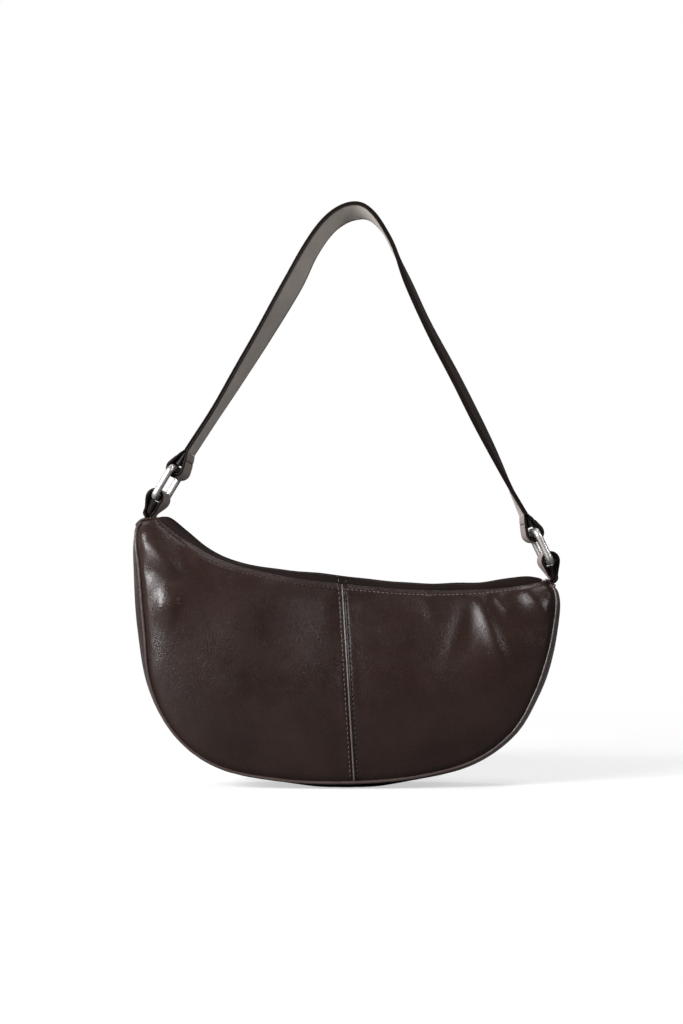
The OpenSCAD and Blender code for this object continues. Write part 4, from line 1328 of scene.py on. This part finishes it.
def stitch_tree():
    """Group that turns the edges of a mesh into stitches, with its sizes and its thread as inputs."""
    tree = bpy.data.node_groups.new("thread_row", "GeometryNodeTree")
    face = tree.interface
    face.new_socket("Line", in_out="INPUT", socket_type="NodeSocketGeometry")
    for name, kind, value in (
            ("Pitch", "Float", 3 * MM), ("Stitch Length", "Float", 2.2 * MM),
            ("Thread Width", "Float", 0.6 * MM), ("Tip", "Float", 0.12), ("Seed", "Int", 1)):
        face.new_socket(name, in_out="INPUT", socket_type="NodeSocket" + kind).default_value = value
    face.new_socket("Thread", in_out="INPUT", socket_type="NodeSocketMaterial")
    face.new_socket("Stitches", in_out="OUTPUT", socket_type="NodeSocketGeometry")
    add, join = tree.nodes.new, tree.links.new
    start, end = add("NodeGroupInput"), add("NodeGroupOutput")

    # Points along the line at the pitch, each with the direction of the line
    curve, points = add("GeometryNodeMeshToCurve"), add("GeometryNodeCurveToPoints")
    points.mode = "LENGTH"
    join(start.outputs["Line"], curve.inputs["Mesh"])
    join(curve.outputs["Curve"], points.inputs["Curve"])
    join(start.outputs["Pitch"], points.inputs["Length"])
    turn = add("FunctionNodeAlignRotationToVector")
    turn.axis = "X"
    join(points.outputs["Tangent"], turn.inputs["Vector"])

    # Each stitch is tipped by half to one and a half times the input
    tip, lean = add("FunctionNodeRandomValue"), add("ShaderNodeCombineXYZ")
    tipped = add("FunctionNodeRotateRotation")
    tip.data_type = "FLOAT"
    low, spread = add("ShaderNodeMath"), add("ShaderNodeMath")
    low.operation = spread.operation = "MULTIPLY"
    low.inputs[1].default_value, spread.inputs[1].default_value = 0.5, 1.5
    join(start.outputs["Tip"], low.inputs[0])
    join(start.outputs["Tip"], spread.inputs[0])
    join(low.outputs[0], tip.inputs[2])
    join(spread.outputs[0], tip.inputs[3])
    join(start.outputs["Seed"], tip.inputs["Seed"])
    join(tip.outputs[1], lean.inputs["Y"])
    tipped.rotation_space = "LOCAL"
    join(turn.outputs["Rotation"], tipped.inputs["Rotation"])
    join(lean.outputs["Vector"], tipped.inputs["Rotate By"])

    # A ball stretched to the size of a stitch, a little longer or shorter each time
    ball, size = add("GeometryNodeMeshUVSphere"), add("ShaderNodeCombineXYZ")
    ball.inputs["Segments"].default_value, ball.inputs["Rings"].default_value = STITCH_SIDES, STITCH_RINGS
    ball.inputs["Radius"].default_value = 0.5
    for socket, axis in (("Stitch Length", "X"), ("Thread Width", "Y"), ("Thread Width", "Z")):
        join(start.outputs[socket], size.inputs[axis])
    vary, shaped = add("FunctionNodeRandomValue"), add("ShaderNodeVectorMath")
    vary.data_type = "FLOAT"
    vary.inputs[2].default_value, vary.inputs[3].default_value = 0.9, 1.08
    join(start.outputs["Seed"], vary.inputs["Seed"])
    shaped.operation = "SCALE"
    join(size.outputs["Vector"], shaped.inputs[0])
    join(vary.outputs[1], shaped.inputs["Scale"])

    # A copy on each point, made real and given the thread
    copies, real = add("GeometryNodeInstanceOnPoints"), add("GeometryNodeRealizeInstances")
    join(points.outputs["Points"], copies.inputs["Points"])
    join(ball.outputs["Mesh"], copies.inputs["Instance"])
    join(tipped.outputs["Rotation"], copies.inputs["Rotation"])
    join(shaped.outputs["Vector"], copies.inputs["Scale"])
    join(copies.outputs["Instances"], real.inputs["Geometry"])
    soft, paint = add("GeometryNodeSetShadeSmooth"), add("GeometryNodeSetMaterial")
    join(real.outputs["Geometry"], soft.inputs["Geometry"])
    join(soft.outputs["Geometry"], paint.inputs["Geometry"])
    join(start.outputs["Thread"], paint.inputs["Material"])
    join(paint.outputs["Geometry"], end.inputs["Stitches"])
    return tree


stitches = stitch_tree()
sockets = {item.name: item.identifier for item in stitches.interface.items_tree if item.in_out == "INPUT"}
print("inputs of", stitches.name + ":", ", ".join(sockets))

# %% [markdown]
# Rows that share a thread and a pitch go into one mesh of plain lines. The tree runs as a modifier on
# it, the result is read back as a mesh of its own, and the lines are thrown away.

# %% Sew rows of stitches


def sew(name, rows, body, material, pitch, length, width, seed, tip=0.12):
    """One mesh of stitches along all the rows, each a list of points."""
    points, edges = [], []
    for row in rows:
        base = len(points)
        points += [tuple(p) for p in row]
        edges += [(base + k, base + k + 1) for k in range(len(row) - 1)]
    lines = bpy.data.meshes.new(name + "_lines")
    lines.from_pydata(points, edges, [])
    holder = bpy.data.objects.new(name + "_lines", lines)
    bpy.context.scene.collection.objects.link(holder)
    modifier = holder.modifiers.new("sewing", "NODES")
    modifier.node_group = stitches
    for socket, value in (("Pitch", pitch), ("Stitch Length", length), ("Thread Width", width), ("Tip", tip),
                          ("Seed", seed), ("Thread", material)):
        modifier[sockets[socket]] = value
    graph = bpy.context.evaluated_depsgraph_get()
    mesh = bpy.data.meshes.new_from_object(holder.evaluated_get(graph), depsgraph=graph)
    bpy.data.objects.remove(holder)
    piece = bpy.data.objects.new(name, mesh)
    bpy.context.scene.collection.objects.link(piece)
    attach(piece, body)
    print(name, len(mesh.polygons) // (STITCH_SIDES * STITCH_RINGS), "stitches")
    return piece


# %% [markdown]
# A panel has a row under the mouth, in two parts because the centre seam is in the way, and a row on
# each side of the centre seam. The gusset has a row beside each piping. The centre rows end in a few
# stitches on the zip band, where the seam of the panel runs on.

# %% Where the rows run
U_STEP = 0.02


def stride(line):
    """How far a line runs sideways for a whole unit of u, measured at the middle of the bag."""
    before, after = line(np.array([0.5 - U_STEP / 2, 0.5 + U_STEP / 2]))[:, 0]
    return abs(after - before) / U_STEP


def mouth_rows(side):
    rows = []
    for u0, u1 in ((0.035, 0.497), (0.503, 0.965)):
        us = np.linspace(u0, u1, 220)
        reach = np.linalg.norm(top_edge(us) - seam(us), axis=-1)
        rows.append(panel_surface(us, 1 - MOUTH_STITCH_IN / reach, side))
    return rows


def centre_rows(side):
    vs = np.linspace(0.03, 0.975, 160)
    width = lerp(stride(seam), stride(top_edge), vs)
    return [panel_surface(0.5 + off / width, vs, side) for off in (-STITCH_IN, STITCH_IN)]


def band_rows(side):
    steps = np.linspace(0.16, 0.60, 30)
    width = stride(top_edge)
    return [band_grid(np.array([0.5 + off / width]), steps, side)[0] for off in (-STITCH_IN, STITCH_IN)]


def gusset_rows():
    us = np.linspace(0.012, 0.988, 420)
    half = gusset_half(us) - STRIP_ROOM
    return [gusset_surface(us, side * (1 - STITCH_IN / half)) for side in (-1, 1)]


print("a panel unit of u is", round(stride(top_edge) / MM), "mm wide at the mouth and",
      round(stride(seam) / MM), "mm at the seam")

# %% [markdown]
# Two rows of each panel are sewn with the bright thread: the one left of the centre seam, and the right half
# of the row under the mouth. The other two are sewn with a darker and a little thinner copy of the same
# thread, painted shade so that these rows stay as faint as the light leaves them. The rows of the gusset are
# bright.

# %% Sew the bag
BRIGHT, SHADED = (thread, 0.6 * MM), (shaded_thread, 0.5 * MM)
for word, side in (("front", 1), ("back", -1)):
    left_row, right_row = mouth_rows(side)
    for name, row, (matter, wide), seed in (("mouth_stitches", right_row, BRIGHT, 3),
                                            ("mouth_stitches_dark", left_row, SHADED, 4)):
        sew(f"{word}_{name}", [row], "bag", matter, 3.0 * MM, 2.15 * MM, wide, seed)
    for mark, pick, (matter, wide) in (("left", 0, BRIGHT), ("right", 1, SHADED)):
        rows = [centre_rows(side)[pick], band_rows(side)[pick]]
        sew(f"{word}_centre_stitches_{mark}", rows, "bag", matter, 3.3 * MM, 2.3 * MM, wide, 5)
sew("gusset_stitches", gusset_rows(), "bag", thread, 3.1 * MM, 2.2 * MM, 0.6 * MM, 7)

# %% [markdown]
# ## Floor, light and camera
# The photograph has a white ground that fades out, so the floor shows its shadow close to the bag and
# turns to pure white further off. Only camera rays see that white. For all other rays the floor is a
# dark grey, so that it throws little light up at the leather.

# %% Floor
WHITE = (1, 1, 1)
FLOOR_SEEN = (0.86, 0.86, 0.86)
FLOOR_FOR_LIGHT = (0.17, 0.17, 0.17)
FADE_FROM, FADE_TO = 0.20, 0.75


def floor_finish():
    """Floor that shades off, with the distance from the bag, from a surface to plain white light."""
    f = Finish("white_floor")
    f.set(Roughness=0.65, Specular_IOR_Level=0.2)
    glow = f.add("ShaderNodeEmission")
    glow.inputs["Strength"].default_value = 1.0
    glow.inputs["Color"].default_value = (*WHITE, 1)
    split = f.add("ShaderNodeSeparateXYZ")
    f.join(f.place, split.inputs["Vector"])
    flat = f.add("ShaderNodeCombineXYZ")
    f.join(split.outputs["X"], flat.inputs["X"])
    f.join(split.outputs["Y"], flat.inputs["Y"])
    far = f.add("ShaderNodeVectorMath", operation="LENGTH")
    f.join(flat.outputs["Vector"], far.inputs[0])
    share = f.span(far.outputs["Value"], FADE_FROM, FADE_TO, 0.55, 1.0)
    seen = f.add("ShaderNodeLightPath").outputs["Is Camera Ray"]
    f.set(Base_Color=f.mix(seen, FLOOR_FOR_LIGHT, FLOOR_SEEN))
    blend = f.add("ShaderNodeMixShader")
    f.join(f.maths("MULTIPLY", share, seen), blend.inputs["Fac"])
    f.join(f.shader.outputs["BSDF"], blend.inputs[1])
    f.join(glow.outputs["Emission"], blend.inputs[2])
    f.join(blend.outputs["Shader"], f.nodes["Material Output"].inputs["Surface"])
    return f.material


floor_mesh = bpy.data.meshes.new("floor")
floor_mesh.from_pydata([(-6, -3.5, 0), (6, -3.5, 0), (6, 8, 0), (-6, 8, 0)], [], [(0, 1, 2, 3)])
floor = bpy.data.objects.new("floor", floor_mesh)
floor_mesh.materials.append(floor_finish())
bpy.context.scene.collection.objects.link(floor)
print("floor fades to white between", FADE_FROM, "and", FADE_TO, "m from the bag")

# %% [markdown]
# A soft light at the left gives the leather its long highlights, and a small one above it lights the
# left corner. A weaker one at the right draws the other side, one above brings out the mouth, and one
# behind the bag rims the strap. All of them look at the middle of the bag.

# %% Lamps
BAG_MIDDLE = (0, 0, 0.17)


def soft_light(name, place, width, height, power):
    """Rectangular lamp at a place, turned towards the bag; sizes in metres, power in watts."""
    light = bpy.data.lights.new(name, "AREA")
    light.shape, light.size, light.size_y = "RECTANGLE", width, height
    light.energy = power
    lamp = bpy.data.objects.new(name, light)
    lamp.location = place
    lamp.rotation_euler = (Vector(BAG_MIDDLE) - Vector(place)).to_track_quat("-Z", "Y").to_euler()
    bpy.context.scene.collection.objects.link(lamp)
    return lamp


lamps = [
    soft_light("key_softbox", (-1.0, -0.85, 0.60), 0.35, 0.50, 37),
    soft_light("corner_light", (-0.60, -1.05, 0.78), 0.22, 0.22, 8),
    soft_light("right_softbox", (1.15, -0.80, 0.75), 0.40, 0.40, 8.5),
    soft_light("mouth_light", (0.45, -0.20, 1.30), 0.35, 0.25, 3),
    soft_light("top_back", (0.1, 0.9, 1.3), 1.2, 0.5, 6),
]
print(len(lamps), "lamps,", sum(lamp.data.energy for lamp in lamps), "W")

# %% [markdown]
# The camera sees a white backdrop. All other rays see a studio that is pale behind the bag, dark on
# the camera's side and darker again to the right. So a face that turns away from the camera catches a
# pale edge, and the front stays deep brown.

# %% Studio


def studio_world():
    world = bpy.data.worlds.new("studio")
    world.use_nodes = True
    nodes, links = world.node_tree.nodes, world.node_tree.links
    towards, split = nodes.new("ShaderNodeTexCoord"), nodes.new("ShaderNodeSeparateXYZ")
    links.new(towards.outputs["Generated"], split.inputs["Vector"])
    strength = nodes.new("ShaderNodeMath")
    strength.operation = "MULTIPLY"
    for i, (axis, numbers) in enumerate((("Y", (-0.25, 0.40, 0.01, 0.85)), ("X", (0.0, 0.45, 1.0, 0.12)))):
        fade = nodes.new("ShaderNodeMapRange")
        links.new(split.outputs[axis], fade.inputs["Value"])
        for socket, number in zip(("From Min", "From Max", "To Min", "To Max"), numbers):
            fade.inputs[socket].default_value = number
        links.new(fade.outputs["Result"], strength.inputs[i])
    room, backdrop = nodes.new("ShaderNodeBackground"), nodes["Background"]
    for background in (room, backdrop):
        background.inputs["Color"].default_value = (*WHITE, 1)
    backdrop.inputs["Strength"].default_value = 1.0
    links.new(strength.outputs["Value"], room.inputs["Strength"])
    rays, either = nodes.new("ShaderNodeLightPath"), nodes.new("ShaderNodeMixShader")
    links.new(rays.outputs["Is Camera Ray"], either.inputs["Fac"])
    links.new(room.outputs["Background"], either.inputs[1])
    links.new(backdrop.outputs["Background"], either.inputs[2])
    links.new(either.outputs["Shader"], nodes["World Output"].inputs["Surface"])
    return world


bpy.context.scene.world = studio_world()
print("studio has", len(bpy.context.scene.world.node_tree.nodes), "nodes")

# %% [markdown]
# The photograph is taken level and straight on, from a long way off. The camera stands 1.8 metres in
# front of the bag, and its lens is chosen so that the bag fills the picture as it does there.

# %% Camera
camera = bpy.data.cameras.new("photo_view")
camera.lens = 89.9
viewer = bpy.data.objects.new("photo_view", camera)
viewer.location = (-0.0039, -1.8, 0.1922)
viewer.rotation_euler = (math.pi / 2, 0, 0)
bpy.context.scene.collection.objects.link(viewer)
bpy.context.scene.camera = viewer
bpy.context.scene.view_settings.view_transform = "Standard"
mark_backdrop(floor, viewer, *lamps)
print("camera", tuple(round(c, 4) for c in viewer.location), "lens", round(camera.lens, 1))

# %% [markdown]
# Last, the size of the dressed bag is set beside the size of the model, and the scene is finished.

# %% Sizes, and the end
visual_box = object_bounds()
for word, box in (("model", cad_box), ("dressed", visual_box)):
    print(word, [round(low / MM, 1) for low in box[0]], [round(high / MM, 1) for high in box[1]])
